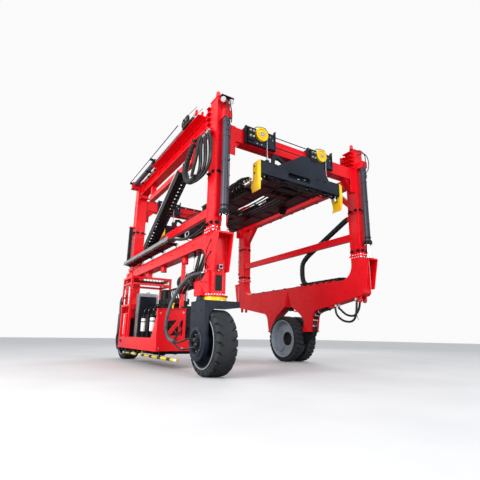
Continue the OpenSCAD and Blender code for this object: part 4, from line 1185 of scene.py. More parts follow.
        line.elbow(
            [
                (x, 0.95, z + 0.115), (x + 0.02, 1.02, z + 0.125), (x + 0.02, 2.55, z + 0.125),
                (x, 2.62, z + 0.115)
            ],
            0.009, 0.03
        )
        line.piece("hoist_cylinder_pipe", "upper_frame", "galvanised")
        rod.turned((x, -1.49, z), "y", plug(0.04505, 2.15), 40)
        collar = [(0.0, -0.01), (0.06, -0.01), (0.06, 0.035), (0.05, 0.045), (0.0, 0.045)]
        rod.turned((x, -1.49, z), "y", collar, 24)
        rod.piece("hoist_rod_chrome", "hoist_ram", "chrome")
        rail.rod((x - 0.15, -1.35, z + 0.075), (x - 0.15, 2.86, z + 0.075), 0.012, 12)
        for y in (0.74, 2.83):
            rail.block((x - 0.164, y - 0.012, z + 0.02), (x - 0.06, y + 0.012, z + 0.092))
        rail.piece("hoist_guide_rail", "upper_frame", "black_enamel", 0.002)


class GANTRY_OT_chains(bpy.types.Operator):
    """Builds the energy chains link by link, the perforated guide channel and the hose bundle"""

    bl_idname = "gantry.chains"
    bl_label = "Energy chains"

    # Where the right chain runs, in y and z
    RIGHT_RUN = (
        (-2.42, 3.89), (-2.32, 3.87), (-0.7, 3.12), (-0.49, 2.95), (-0.46, 2.8), (-0.46, 2.5),
        (-0.52, 2.33), (-0.7, 2.2453), (-0.9, 2.2453), (-2.15, 2.2453),
    )
    HOLES_ALONG, HOLES_ACROSS, HOLE_RADIUS = 24, 4, 0.021

    def execute(self, context):
        self.right_chain()
        self.left_chain()
        self.guide()
        self.bundle()
        return {"FINISHED"}

    @staticmethod
    def links(name, path, body, width, height):
        """An energy chain along a path."""
        return grow(
            name, trees["links"], path_mesh([path]), body, "chain_plastic",
            Pitch=sizes().link_pitch, Width=width, Height=height,
        )

    def right_chain(self):
        """The chain from the near right column down to the chassis."""
        path = rounded([(RIGHT_CHAIN_X, y, z) for y, z in self.RIGHT_RUN], 0.16, 8)
        chain = self.links("right_chain_links", path, None, 0.1, 0.11)
        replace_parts(chain, "right_drag_chain")
        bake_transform(chain)

    def left_chain(self):
        """The upright chain at the far left column."""
        foot, head = (LEFT_CHAIN_X, LEFT_CHAIN_Y, 2.87), (LEFT_CHAIN_X, LEFT_CHAIN_Y, 4.098)
        chain = self.links("left_chain_links", [foot, head], None, 0.098, 0.088)
        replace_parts(chain, "left_drag_chain")
        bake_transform(chain)

    def guide(self):
        """The guide channel: a perforated floor between two walls, with a pale lip and a chain in it."""
        top, foot = Vector((0, -1.368, 4.557)), Vector((0, 0.896, 3.135))
        run = (foot - top).normalized()
        deep = Vector((0, run.z, -run.y))
        length = (foot - top).length
        x0, x1, depth, wall = -2.46, -2.18, 0.2, 0.008

        def spot(a, x, b):
            """A place so far along the channel, across it and down into it."""
            p = top + run * a + deep * b
            return (x, p.y, p.z)

        def slab(form, a0, a1, low, high, b0, b1):
            form.loft(
                [[spot(a0, x, b0), spot(a1, x, b0), spot(a1, x, b1), spot(a0, x, b1)] for x in (low, high)]
            )

        step, lane = length / self.HOLES_ALONG, (x1 - x0) / self.HOLES_ACROSS
        web, edge = forms(2)
        for i in range(self.HOLES_ALONG):
            for j in range(self.HOLES_ACROSS):
                a, b = (i + 0.5) * step, x0 + (j + 0.5) * lane
                self.cell(web, spot, a, b, step / 2, lane / 2, self.HOLE_RADIUS, depth - 0.006, depth)
        for low, high in ((x0, x0 + wall), (x1 - wall, x1)):
            slab(web, 0, length, low, high, 0.0, depth)
        for a in (0.1, 0.7, 1.35, 2.0, 2.55):
            slab(web, a, a + 0.03, x0, x1, 0.0, 0.012)
        web.block((-2.211, -1.17, 4.33), (-2.181, -1.06, 4.89))
        web.block((-2.182, -1.17, 4.78), (-2.17, -1.06, 4.89))
        made = web.piece("guide_channel", "upper_frame", "black_enamel")
        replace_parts(made, "chain_guide")
        slab(edge, 0, length, x0 - 0.004, x0 + 0.018, -0.006, 0.014)
        edge.piece("guide_edge_strip", "upper_frame", "white_enamel", 0.002)
        lying = [spot(a, x, 0.1) for a, x in ((0.04, -2.37), (1.2, -2.35), (2.0, -2.27), (2.64, -2.25))]
        self.links("guide_chain_links", rounded(lying, 0.2, 6), "upper_frame", 0.145, 0.12)

    @staticmethod
    def cell(form, spot, a, b, ha, hb, r, low, high):
        """One cell of a sheet with a round hole through it, between two depths."""
        n = 8
        for k in range(n):
            t0, t1 = 2 * pi * (k - 0.5) / n, 2 * pi * (k + 0.5) / n
            outline = []
            for t in (t0, t1):
                m = 1 / max(abs(cos(t)), abs(sin(t)))
                outline.append((a + ha * cos(t) * m, b + hb * sin(t) * m))
            if k % 2:
                middle = 2 * pi * k / n
                corner = (a + ha * (1 if cos(middle) > 0 else -1), b + hb * (1 if sin(middle) > 0 else -1))
                outline.insert(1, corner)
            outline += [(a + r * cos(t), b + r * sin(t)) for t in (t1, t0)]
            form.loft([[spot(p, q, x) for p, q in outline] for x in (low, high)])

    def bundle(self):
        """Hoses and a ribbed conduit that hang in a loop beside the near left column's head."""
        hoses, thick, fittings, comb = forms(4)
        for k in range(6):
            x = -2.385 - 0.01 * (k % 2)
            hoses.hose([
                (-2.27, -2.5 - 0.02 * k, 5.01), (-2.31, -2.46 - 0.045 * k, 5.0),
                (x + 0.02, -2.43 - 0.085 * k, 4.84), (x, -2.43 - 0.115 * k, 4.55),
                (x, -2.45 - 0.112 * k, 4.28 - 0.02 * k), (x, -2.38 - 0.09 * k, 4.08 - 0.024 * k),
                (x, -2.19 - 0.045 * k, 4.0 - 0.018 * k), (-2.4, -2.02, 4.05 - 0.016 * k),
            ], 0.025 if k % 2 else 0.021, 12)
            fittings.rod((-2.262, -2.5 - 0.02 * k, 5.01), (-2.3, -2.475 - 0.04 * k, 5.008), 0.034, 14)
            fittings.rod((-2.35, -2.44 - 0.07 * k, 4.93), (-2.355, -2.435 - 0.08 * k, 4.86), 0.032, 14)
        made = hoses.piece("hose_bundle_hoses", "upper_frame", "hose_cover")
        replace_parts(made, "hose_bundle")
        for k in range(2):
            thick.hose(
                [
                    (-2.36, -2.43 - 0.07 * k, 4.98), (-2.39, -2.36 - 0.06 * k, 4.82),
                    (-2.39, -2.24 - 0.06 * k, 4.5), (-2.39, -2.12 - 0.05 * k, 4.26),
                    (-2.39, -2.06 - 0.03 * k, 4.12)
                ],
                0.03, 14
            )
        turn = ((-1.76, 4.53), (-1.69, 4.38), (-1.84, 4.1), (-2.08, 3.99), (-2.3, 4.0))
        bend = rounded([(-2.4, y, z) for y, z in turn], 0.12, 8)
        thick.pipe(bend, 0.068, 20)
        for place, way in ((bend[0], Vector((0, 0.28, -0.9))), (bend[-1], Vector((0, -1, 0.05)))):
            thick.turned(Vector(place) - way.normalized() * 0.02, way, plug(0.076, 0.05), 24)
        thick.piece("hose_elbow", "upper_frame", "chain_plastic")
        route = rounded(
            [(-2.36, -2.06, 5.02), (-2.38, -2.05, 4.9), (-2.4, -1.95, 4.72), (-2.4, -1.76, 4.52)], 0.1, 8
        )
        ribbed("ribbed_conduit", route, "upper_frame", "chain_plastic", 0.058, 0.022, 0.085)
        fittings.piece("hose_bundle_fittings", "upper_frame", "zinc")
        comb.block((-2.4, -2.66, 4.94), (-2.24, -2.46, 4.965))
        comb.block((-2.42, -2.12, 4.9), (-2.2, -1.98, 4.93))
        comb.piece("hose_combs", "upper_frame", "red_enamel", 0.003)


class GANTRY_OT_spreader(bpy.types.Operator):
    """Builds the spreader's plates, folded guides, corner locks and hydraulic gear"""

    bl_idname = "gantry.spreader"
    bl_label = "Spreader"

    GEAR_X, GEAR_Z = -0.93, 4.27
    BRASS = [(0.0, 0), (0.03, 0), (0.03, 0.035), (0.026, 0.05), (0.0, 0.05)]
    NIPPLE = [(0.016, 0), (0.016, 0.03), (0.01, 0.034), (0.01, 0.05)]

    def execute(self, context):
        ease = sizes().edge_ease
        for name in ("near_end_beam", "far_end_beam"):
            eased_copy(name, "navy_enamel", ease)
        eased_copy("spreader_beams", "maroon_enamel", ease)
        eased_copy("spreader_gear", "black_enamel", 0.004)
        lips, trim, black, shiny, brassy = forms(5)
        spots, under = [], []
        for name, front in (("near_end_beam", -1), ("far_end_beam", 1)):
            self.end_beam(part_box(name), front, lips, trim, black, shiny, spots, under)
        self.main_beams(black, shiny)
        self.side_gear(black, shiny, brassy)
        lips.piece("spreader_lips", "spreader", "navy_enamel", 0.002)
        trim.piece("spreader_slot_trims", "spreader", "navy_enamel", 0.002)
        black.piece("spreader_fittings", "spreader", "black_enamel", 0.002)
        shiny.piece("spreader_bright_gear", "spreader", "zinc")
        brassy.piece("spreader_brass_fittings", "spreader", "brass")
        bolts("spreader_bolts", "spreader", spots, 0.02, "navy_enamel")
        bolts("spreader_underside_bolts", "spreader", under, 0.022, "black_enamel")
        self.guides()
        self.locks()
        return {"FINISHED"}

    @staticmethod
    def end_beam(box, front, lips, trim, black, shiny, spots, under):
        """Lips, the trim of the slot, hoses in it and the gear under one end beam."""
        low, high = box
        face, back = (low.y, high.y) if front < 0 else (high.y, low.y)
        inside = (face + back) / 2
        z0, z1 = SPREADER_LOW, SPREADER_TOP
        for a, b in ((-1.195, -0.735), (0.865, 1.195)):
            lips.block((a, face + front * 0.006, z1 - 0.001), (b, face - front * 0.05, z1 + 0.01))
        lips.block((-1.195, face + front * 0.006, z0 + 0.002), (1.195, face, z0 + 0.014))
        outer, inner = (
            circle((0.18, 4.3), r, 12, -90, 90) + circle((-0.38, 4.3), r, 12, 90, 270)
            for r in (0.066, 0.058)
        )
        steps = ((outer, -0.02), (outer, 0.006), (inner, 0.006), (inner, -0.02))
        trim.loft([[(x, face + front * d, z) for x, z in path] for path, d in steps], closed=True)
        rows = (
            ((-0.8, -0.74, 0.44, 0.5, 0.66, 0.72), z1 - 0.045), ((0.3, 0.37, 0.44), 4.83),
            ((-0.98, -0.86, 0.86, 0.98), z0 + 0.06),
        )
        spots += [((x, face, z), (0, front, 0)) for row, z in rows for x in row]
        for k in range(3):
            z = 4.262 + 0.032 * k
            black.hose([
                (-0.5, face - front * 0.075, z), (-0.22, face - front * (0.06 + 0.012 * k), z + 0.012),
                (0.04, face - front * 0.075, z - 0.008), (0.3, face - front * 0.08, z + 0.004),
            ], 0.013, 12)
            x, z, y = -0.3 + 0.19 * k, 4.266 + 0.03 * k, face - front * 0.075
            shiny.rod((x, y, z), (x + 0.06, y, z + 0.002), 0.017)
        for x in (-0.9, -0.45, 0.3, 0.85):
            black.block((x - 0.07, inside - 0.075, z0 - 0.045), (x + 0.07, inside + 0.075, z0 + 0.002))
        y, z = inside - 0.03, z0 - 0.035
        for x in (-0.62, 0.02, 0.6):
            black.rod((x - 0.13, y, z), (x + 0.13, y, z), 0.02)
            shiny.rod((x + 0.13, y, z), (x + 0.19, y, z), 0.008)
        under += [
            ((x - 0.12 + 0.08 * k, inside + front * 0.085, z0), (0, 0, -1)) for x in (-0.95, 0.95)
            for k in range(4)
        ]
        slung = (
            (-1.05, 0, -0.01), (-0.75, 0.05, -0.1), (-0.35, 0.02, -0.07), (-0.05, -0.02, -0.12),
            (0.35, 0.02, -0.06), (0.72, 0.03, -0.1), (1.0, 0, -0.01),
        )
        black.hose([(x, inside + dy, z0 + dz) for x, dy, dz in slung], 0.013)

    @staticmethod
    def main_beams(black, shiny):
        """Rails, cross bars, hoses and cylinders between the main beams."""
        low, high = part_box("spreader_beams")
        for x in (-0.73, -0.39, 0.39, 0.73):
            for z in (4.172, 4.428):
                black.block((x - 0.035, low.y + 0.02, z - 0.008), (x + 0.035, high.y - 0.02, z + 0.008))
        for y in (-2.45, -1.5, -0.95, -0.4, 0.5, 1.05, 1.5, 2.45):
            for x in (-0.56, 0.56):
                black.block((x - 0.168, y - 0.006, 4.155), (x + 0.168, y + 0.006, 4.171))
        for k in range(6):
            black.hose([
                (-0.34 + 0.135 * k, -2.28, 4.235), (-0.3 + 0.12 * k, -1.2, 4.215 - 0.01 * (k % 2)),
                (-0.33 + 0.13 * k, 0.2, 4.235), (-0.3 + 0.12 * k, 1.9, 4.225),
            ], 0.02)
        for y in (-2.3, -1.1, 0.3, 1.3):
            black.rod((0.0, y, 4.21), (0.0, y + 0.7, 4.21), 0.035, 20)
            shiny.rod((0.0, y + 0.7, 4.21), (0.0, y + 0.92, 4.21), 0.018, 16)
            black.block((-0.05, y - 0.04, 4.18), (0.05, y + 0.03, 4.27))
        black.block((-0.3, -2.55, 4.19), (0.28, -2.35, 4.36))
        hanger = [(-1.62, 4.17), (-1.3, 4.17), (-1.36, 4.03), (-1.44, 4.0), (-1.52, 4.03)]
        black.prism("x", hanger, 0.62, 0.7)

    def side_gear(self, black, shiny, brassy):
        """Two cylinders along the left beam with hose loops and brass fittings beside them."""
        x, z = self.GEAR_X, self.GEAR_Z
        for y in (-1.9, 0.6):
            black.turned((x, y, z), "y", [(0.0, -0.03), (0.066, -0.03), (0.066, 0.02), (0.06, 0.02)], 32)
            black.turned((x, y + 1.04, z), "y", [(0.06, 0), (0.068, 0), (0.068, 0.07), (0.0, 0.07)], 32)
            shiny.rod((x, y - 0.3, z), (x, y, z), 0.026, 20)
            shiny.turned((x, y - 0.36, z), "x", [(0.045, -0.03), (0.045, 0.03)], 20)
            for k in range(3):
                black.hose([
                    (x, y + 0.25 + 0.3 * k, 4.325), (-0.98, y + 0.32 + 0.3 * k, 4.4),
                    (-0.86, y + 0.45 + 0.2 * k, 4.46), (-0.76, y + 0.5 + 0.2 * k, 4.43),
                ], 0.012)
        for k in range(11):
            y, out = -2.28 + 0.105 * k, 0.03 * (k % 3)
            black.hose([
                (-0.94, y, 4.34), (-1.0, y + 0.03, 4.38 + out), (-1.08 - out, y + 0.1, 4.35),
                (-1.11 - out, y + 0.2, 4.25), (-1.06, y + 0.28, 4.16 - out), (-0.96, y + 0.32, 4.13),
                (-0.88, y + 0.34, 4.17),
            ], 0.024, 12)
            brassy.turned((-0.955, y, 4.345), (-0.8, 0.3, 0.5), self.BRASS, 6)
        for k in range(7):
            y = -0.36 + 0.09 * k
            shiny.turned((-0.985, y, 4.38), (-1, 0, 0.3), self.NIPPLE, 12)
            black.hose([
                (-0.99, y, 4.39), (-1.05, y + 0.02, 4.37), (-1.06, -0.3 + 0.05 * k, 4.24),
                (-0.98, -0.24 + 0.04 * k, 4.16), (-0.8, -0.2 + 0.04 * k, 4.15),
            ], 0.011)

    @staticmethod
    def guides():
        """The folded yellow guides: a front plate, an outer side plate and a flared toe."""
        z0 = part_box("corner_guides")[0].z
        top = SPREADER_TOP + 0.005
        folded = Form()
        spots = []
        side = (
            (top + 0.02, 0.0), (top + 0.02, 0.012), (4.1, 0.012), (z0 + 0.13, 0.062), (z0, 0.02),
            (z0, 0.008), (z0 + 0.13, 0.05), (4.1, 0.0)
        )
        plate = (
            (0, top + 0.02), (0.075, top - 0.02), (0.085, 4.12), (0.062, z0 + 0.13), (0.02, z0), (0.008, z0),
            (0, z0 + 0.16),
        )
        for sx, sy in CORNERS:
            x, face, back = sx * 1.203, sy * 3.045, sy * 2.75
            folded.loft([[(x + sx * d, y, z) for z, d in side] for y in (back, face)])
            folded.prism("y", [(x + sx * d, z) for d, z in plate], face - 0.006, face + 0.006)
            for y in (back + sy * 0.08, face - sy * 0.05):
                spots += [((x + sx * 0.012, y, z), (sx, 0, 0)) for z in (4.22, 4.38)]
        made = folded.piece("folded_guides", "spreader", "yellow_enamel", 0.003)
        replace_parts(made, "corner_guides")
        bolts("guide_bolts", "spreader", spots, 0.024, "black_enamel")

    @staticmethod
    def locks():
        """The turning locks under the corners with their housings and levers."""
        cones, housings, levers = forms(3)
        spots = []
        neck = [(0.0, 0), (0.034, 0), (0.034, 0.058), (0.03, 0.062), (0.0, 0.062)]
        cone = ((0.058, 0.028, 0.052), (0.072, 0.03, 0.054), (0.092, 0.026, 0.046), (0.096, 0.018, 0.03))
        flange = [(0.052, -0.002), (0.052, 0.01), (0.044, 0.016), (0.0, 0.016)]
        for sx, sy in CORNERS:
            x, y, z = sx * 1.13, sy * 2.927, SPREADER_LOW - 0.04
            cones.turned((x, y, z), (0, 0, -1), neck, 24)
            cones.loft([[(x + a * c, y + b * s, z - h) for c, s in around(24)] for h, a, b in cone])
            housings.block((x - 0.062, y - 0.092, z), (x + 0.062, y + 0.092, z + 0.041))
            housings.turned((x, y, z), (0, 0, -1), flange, 28)
            tip = x - sx * 0.22
            lever = [(x, y - 0.02), (tip, y - 0.012), (tip, y + 0.012), (x, y + 0.02)]
            levers.prism("z", lever, z + 0.014, z + 0.028)
            levers.turned((x - sx * 0.21, y, z + 0.01), "z", [(0.018, -0.006), (0.018, 0.028)], 16)
            spots += [((a, b, z), (0, 0, -1)) for a, b in square(x, y, 0.048, 0.076)]
        made = cones.piece("lock_cones", "spreader", "zinc", 0.0)
        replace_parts(made, "twistlocks")
        housings.piece("lock_housings", "spreader", "black_enamel", 0.003)
        levers.piece("lock_levers", "spreader", "zinc", 0.002)
        bolts("lock_bolts", "spreader", spots, 0.018)


class GANTRY_OT_left_chassis(bpy.types.Operator):
    """Builds the left legs, their beam, the slewing gear, the cable tray and their fittings"""

    bl_idname = "gantry.left_chassis"
    bl_label = "Left chassis"

    TRAY_PITCH = 0.034
    SOCKET = [(0.026, 0), (0.026, 0.02), (0.018, 0.024), (0.018, 0.04)]
    MOTOR = [(0.085, 0), (0.085, 0.03), (0.07, 0.036), (0.07, 0.16), (0.06, 0.17), (0.0, 0.17)]
    BEAM_PORT = [(0.0, 0), (0.082, 0), (0.082, 0.02), (0.072, 0.026), (0.072, 0.15)]
    GLAND = [(0.055, 0), (0.055, 0.02), (0.045, 0.024), (0.045, 0.07), (0.038, 0.074)]

    def execute(self, context):
        ease = sizes().edge_ease
        for name in ("near_left_leg", "far_left_leg", "left_chassis_beam"):
            eased_copy(name, "red_enamel", ease)
        eased_copy("slew_rings", "yellow_enamel", 0.006)
        eased_copy("cable_tray", "galvanised", 0.002)
        red, dark, grey, chips = forms(4)
        ring_spots, small, painted = [], [], []
        for sy in SIDES:
            self.leg(sy, red, dark, grey, chips, ring_spots, small, painted)
        self.beam(red, dark, grey, chips, small)
        self.leg_hoses()
        self.tray_panel_painted_shade()
        red.piece("left_leg_plates", "chassis", "red_enamel", 0.003)
        # The black fittings include the window plates, which are painted shade.
        dark.piece("left_chassis_fittings_and_window_shade", "chassis", "black_enamel", 0.002)
        grey.piece("left_chassis_brackets", "chassis", "galvanised", 0.002)
        chips.piece("left_chassis_nuts", "chassis", "zinc", 0.001)
        bolts("slew_ring_bolts", "chassis", ring_spots, 0.026)
        bolts("left_leg_bolts", "chassis", small, 0.018, "red_enamel")
        bolts("window_bolts", "chassis", painted, 0.02, "red_enamel")
        self.hub_hoses()
        return {"FINISHED"}

    def leg(self, sy, red, dark, grey, chips, ring_spots, small, painted):
        """One leg: the slewing plates, the window (a flush black plate as painted shade of its opening), the
        steering motor on its bracket, angles and knees.
        """
        x, y = -COLUMN_X, sy * COLUMN_Y
        red.turned((x, y, 1.43), "z", plug(0.262, 0.026), 64)
        ring_spots += [((x + 0.243 * c, y + 0.243 * s, 1.456), (0, 0, 1)) for c, s in around(28)]
        dark.turned((x, y, 1.334), "z", plug(0.25, 0.012), 64)
        face = y + sy * COLUMN_HALF_Y
        painted += [((x + dx, face, z), (0, sy, 0)) for z in (1.53, 1.85) for dx in (-0.1, 0.1)]
        # A flush black plate over the window: painted shade of the opening.
        dark.block((x - 0.072, face - sy * 0.002, 1.54), (x + 0.072, face + sy * 0.003, 1.842))
        grey.block((x - 0.035, face, 1.955), (x + 0.045, face + sy * 0.07, 2.035))
        dark.turned((x + 0.005, face + sy * 0.07, 1.995), (0, sy, 0), self.SOCKET, 18)
        chips.turned((x - 0.02, face, 1.925), (0, sy, 0), [(0.018, 0), (0.018, 0.03), (0.01, 0.034)], 14)
        box_x, box_y, shelf = -2.35, sy * (COLUMN_Y - 0.04), 1.702
        red.block((-2.462, box_y - 0.142, shelf - 0.014), (-2.24, box_y + 0.142, shelf))
        cheek = [(-2.45, shelf), (-2.25, shelf), (-2.25, 1.93), (-2.31, 1.93), (-2.4, 1.77)]
        for low in (-0.142, 0.13):
            red.prism("y", cheek, box_y + low, box_y + low + 0.012)
        small += [((-2.44, box_y + dy, shelf), (0, 0, 1)) for dy in (-0.11, -0.04, 0.04, 0.11)]
        small += [((-2.45, box_y + dy, z), (-1, 0, 0)) for z in (1.5, 1.63) for dy in (-0.1, 0.1)]
        dark.turned((box_x, box_y, shelf), "z", self.MOTOR, 32)
        chips.turned((box_x, box_y, shelf + 0.17), "z", [(0.024, 0), (0.024, 0.03), (0.0, 0.03)], 6)
        red.block((-2.255, y - 0.17, 2.63), (-1.945, y + 0.17, 2.64))
        for cx, cy in CORNERS:
            a, b = x + cx * COLUMN_HALF_X, y + cy * COLUMN_HALF_Y
            red.block((a, b, 1.48), (a - cx * 0.045, b + cy * 0.006, 2.62))
        for dy in (-0.11, 0.0, 0.11):
            for foot, tip in ((-2.25, -2.285), (-1.95, -1.915)):
                knee = [(foot, 2.62), (foot, 2.725), (tip, 2.725)]
                red.prism("y", knee, y + dy - 0.006, y + dy + 0.006)

    def beam(self, red, dark, grey, chips, small):
        """The beam's flanges and ports, the tray's brackets and the cables in it."""
        low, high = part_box("left_chassis_beam")
        red.block((-2.245, low.y, high.z - 0.012), (-1.955, high.y, high.z + 0.003))
        red.block((-2.245, low.y + 0.33, 2.458), (-1.955, high.y - 0.33, 2.47))
        for y in (-1.3, 0.1, 1.4):
            red.turned((-COLUMN_X, y, 2.31), "z", self.BEAM_PORT, 36)
            chips.turned((-COLUMN_X, y, 2.3), "z", plug(0.03, 0.012), 6)
        small += [((-2.23, y + dy, 2.6), (-1, 0, 0)) for y in (-2.0, -0.7, 0.7, 2.0) for dy in (-0.05, 0.05)]
        for k in range(9):
            y = -0.95 + 0.43 * k
            grey.block((-2.505, y - 0.012, 2.858), (-2.285, y + 0.012, 2.87))
            grey.block((-2.507, y - 0.01, 2.86), (-2.499, y + 0.01, 2.952))
        for k in range(5):
            x = -2.46 + self.TRAY_PITCH * k
            dark.hose(
                [(x, -1.1, 2.885), (x, 0.4, 2.886 + 0.004 * k), (x, 1.8, 2.885), (x, 2.6, 2.885)], 0.014
            )
        for y in (-0.9, 0.0, 0.9, 1.8):
            dark.block((-2.46, y - 0.02, 2.8), (-2.2, y + 0.02, 2.846))
        for k, path in enumerate(
            (
                [
                    (-2.25, -2.86, 2.55), (-2.29, -2.84, 2.42), (-2.285, -2.74, 2.28), (-2.27, -2.72, 2.08),
                    (-2.26, -2.8, 1.98)
                ],
                [(-2.26, -2.9, 2.3), (-2.31, -2.86, 2.18), (-2.3, -2.76, 2.05), (-2.26, -2.7, 1.98)]
            )
        ):
            dark.hose(path, 0.009 + 0.003 * k)

    def leg_hoses(self):
        """The hoses that hang inside the near leg, their manifold and the frame beside it."""
        nest, caps = forms(2)
        for k in range(12):
            x, y, z = -2.16 + 0.025 * (k % 5), -2.36 + 0.055 * (k % 6), 2.3 - 0.06 * (k // 6)
            nest.hose(
                [
                    (x + 0.04, y, 2.44), (x, y - 0.03, z),
                    (x - 0.05 + 0.01 * (k % 3), y + 0.05, 2.06 - 0.04 * (k % 4)),
                    (x - 0.03, y + 0.22, 1.9 - 0.05 * (k % 4)), (x + 0.01, y + 0.48, 1.86 + 0.03 * (k % 5)),
                    (x + 0.03, y + 0.8, 1.8), (x + 0.06, y + 1.1, 1.66)
                ],
                0.024 - 0.003 * (k % 3), 12
            )
        for k in range(5):
            nest.hose(
                [
                    (-2.455 + self.TRAY_PITCH * k, -1.04, 2.885), (-2.44 + self.TRAY_PITCH * k, -1.24, 2.875),
                    (-2.34 + 0.03 * k, -1.52 - 0.03 * k, 2.8 + 0.01 * k),
                    (-2.27 + 0.02 * k, -1.86, 2.79 + 0.016 * k), (-2.24 + 0.02 * k, -2.2, 2.84 + 0.01 * k),
                    (-2.22 + 0.02 * k, -2.5, 2.91)
                ],
                0.022, 12
            )
        for k in range(4):
            y = -1.98 + 0.07 * k
            caps.rod((-2.2, y, 2.33), (-2.2, y + 0.01, 2.08), 0.017, 14)
            caps.turned((-2.2, y, 2.31), "z", plug(0.028, 0.04), 6)
            nest.block((-2.215, y - 0.02, 2.34), (-2.15, y + 0.02, 2.45))
        for y0, z0, y1, z1 in (
            (-1.86, 2.83, -1.66, 2.845), (-1.86, 2.93, -1.66, 2.945), (-1.86, 2.83, -1.845, 2.945),
            (-1.675, 2.76, -1.66, 2.945),
        ):
            caps.block((-2.3, y0, z0), (-2.285, y1, z1))
        nest.piece("leg_hose_nest", "chassis", "hose_cover")
        caps.piece("leg_hose_fittings", "chassis", "zinc")

    @staticmethod
    def tray_panel_painted_shade():
        """The panel under the tray with its cross strips, in dark maroon as painted shade on its underside.
        """
        panel = Form()
        panel.block((-2.468, -1.035, 2.835), (-2.202, 2.595, 2.8485))
        for k in range(24):
            y = -1.0 + 0.155 * k
            panel.block((-2.474, y - 0.012, 2.826), (-2.198, y + 0.012, 2.836))
        # Dark maroon here is painted shade: the underside of this plate falls in shadow.
        panel.piece("tray_panel_painted_shade", "chassis", "maroon_enamel", 0.002)

    def hub_hoses(self):
        """The corrugated hose from the near leg to the hub, two oil hoses on it, and the far leg's hose."""
        route = curved([
            (-2.252, -2.7, 1.9), (-2.36, -2.66, 1.885), (-2.5, -2.44, 1.82), (-2.58, -2.1, 1.58),
            (-2.61, -1.78, 1.2), (-2.62, -1.7, 0.86), (-2.61, -1.88, 0.66), (-2.6, -2.12, 0.6),
        ])
        ribs = ribbed("near_hub_conduit", route, None, "grey_hose", 0.034, 0.013, 0.034)
        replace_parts(ribs, "near_hub_hose")
        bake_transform(ribs)
        hoses, ends, far = forms(3)
        for path in (
            [
                (-2.6, -2.06, 0.61), (-2.6, -2.28, 0.585), (-2.59, -2.5, 0.61), (-2.55, -2.68, 0.66),
                (-2.46, -2.74, 0.665)
            ],
            [
                (-2.6, -2.06, 0.6), (-2.61, -2.26, 0.53), (-2.6, -2.48, 0.47), (-2.56, -2.66, 0.48),
                (-2.46, -2.76, 0.52)
            ]
        ):
            hoses.hose(path, 0.018)
        hoses.piece("hub_hoses", "near_steer_fork", "hose_cover")
        ends.turned((-2.246, -2.7, 1.9), (-1, 0, 0), self.GLAND, 24)
        ends.piece("hub_conduit_gland", "chassis", "zinc")
        far.hose(
            [
                (-2.252, 2.7, 1.9), (-2.42, 2.66, 1.88), (-2.55, 2.45, 1.7), (-2.58, 2.3, 1.3),
                (-2.57, 2.35, 0.9), (-2.55, 2.55, 0.66), (-2.5, 2.74, 0.6)
            ],
            0.028
        )
        loose = far.piece("far_hub_hose", None, "grey_hose")
        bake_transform(loose)


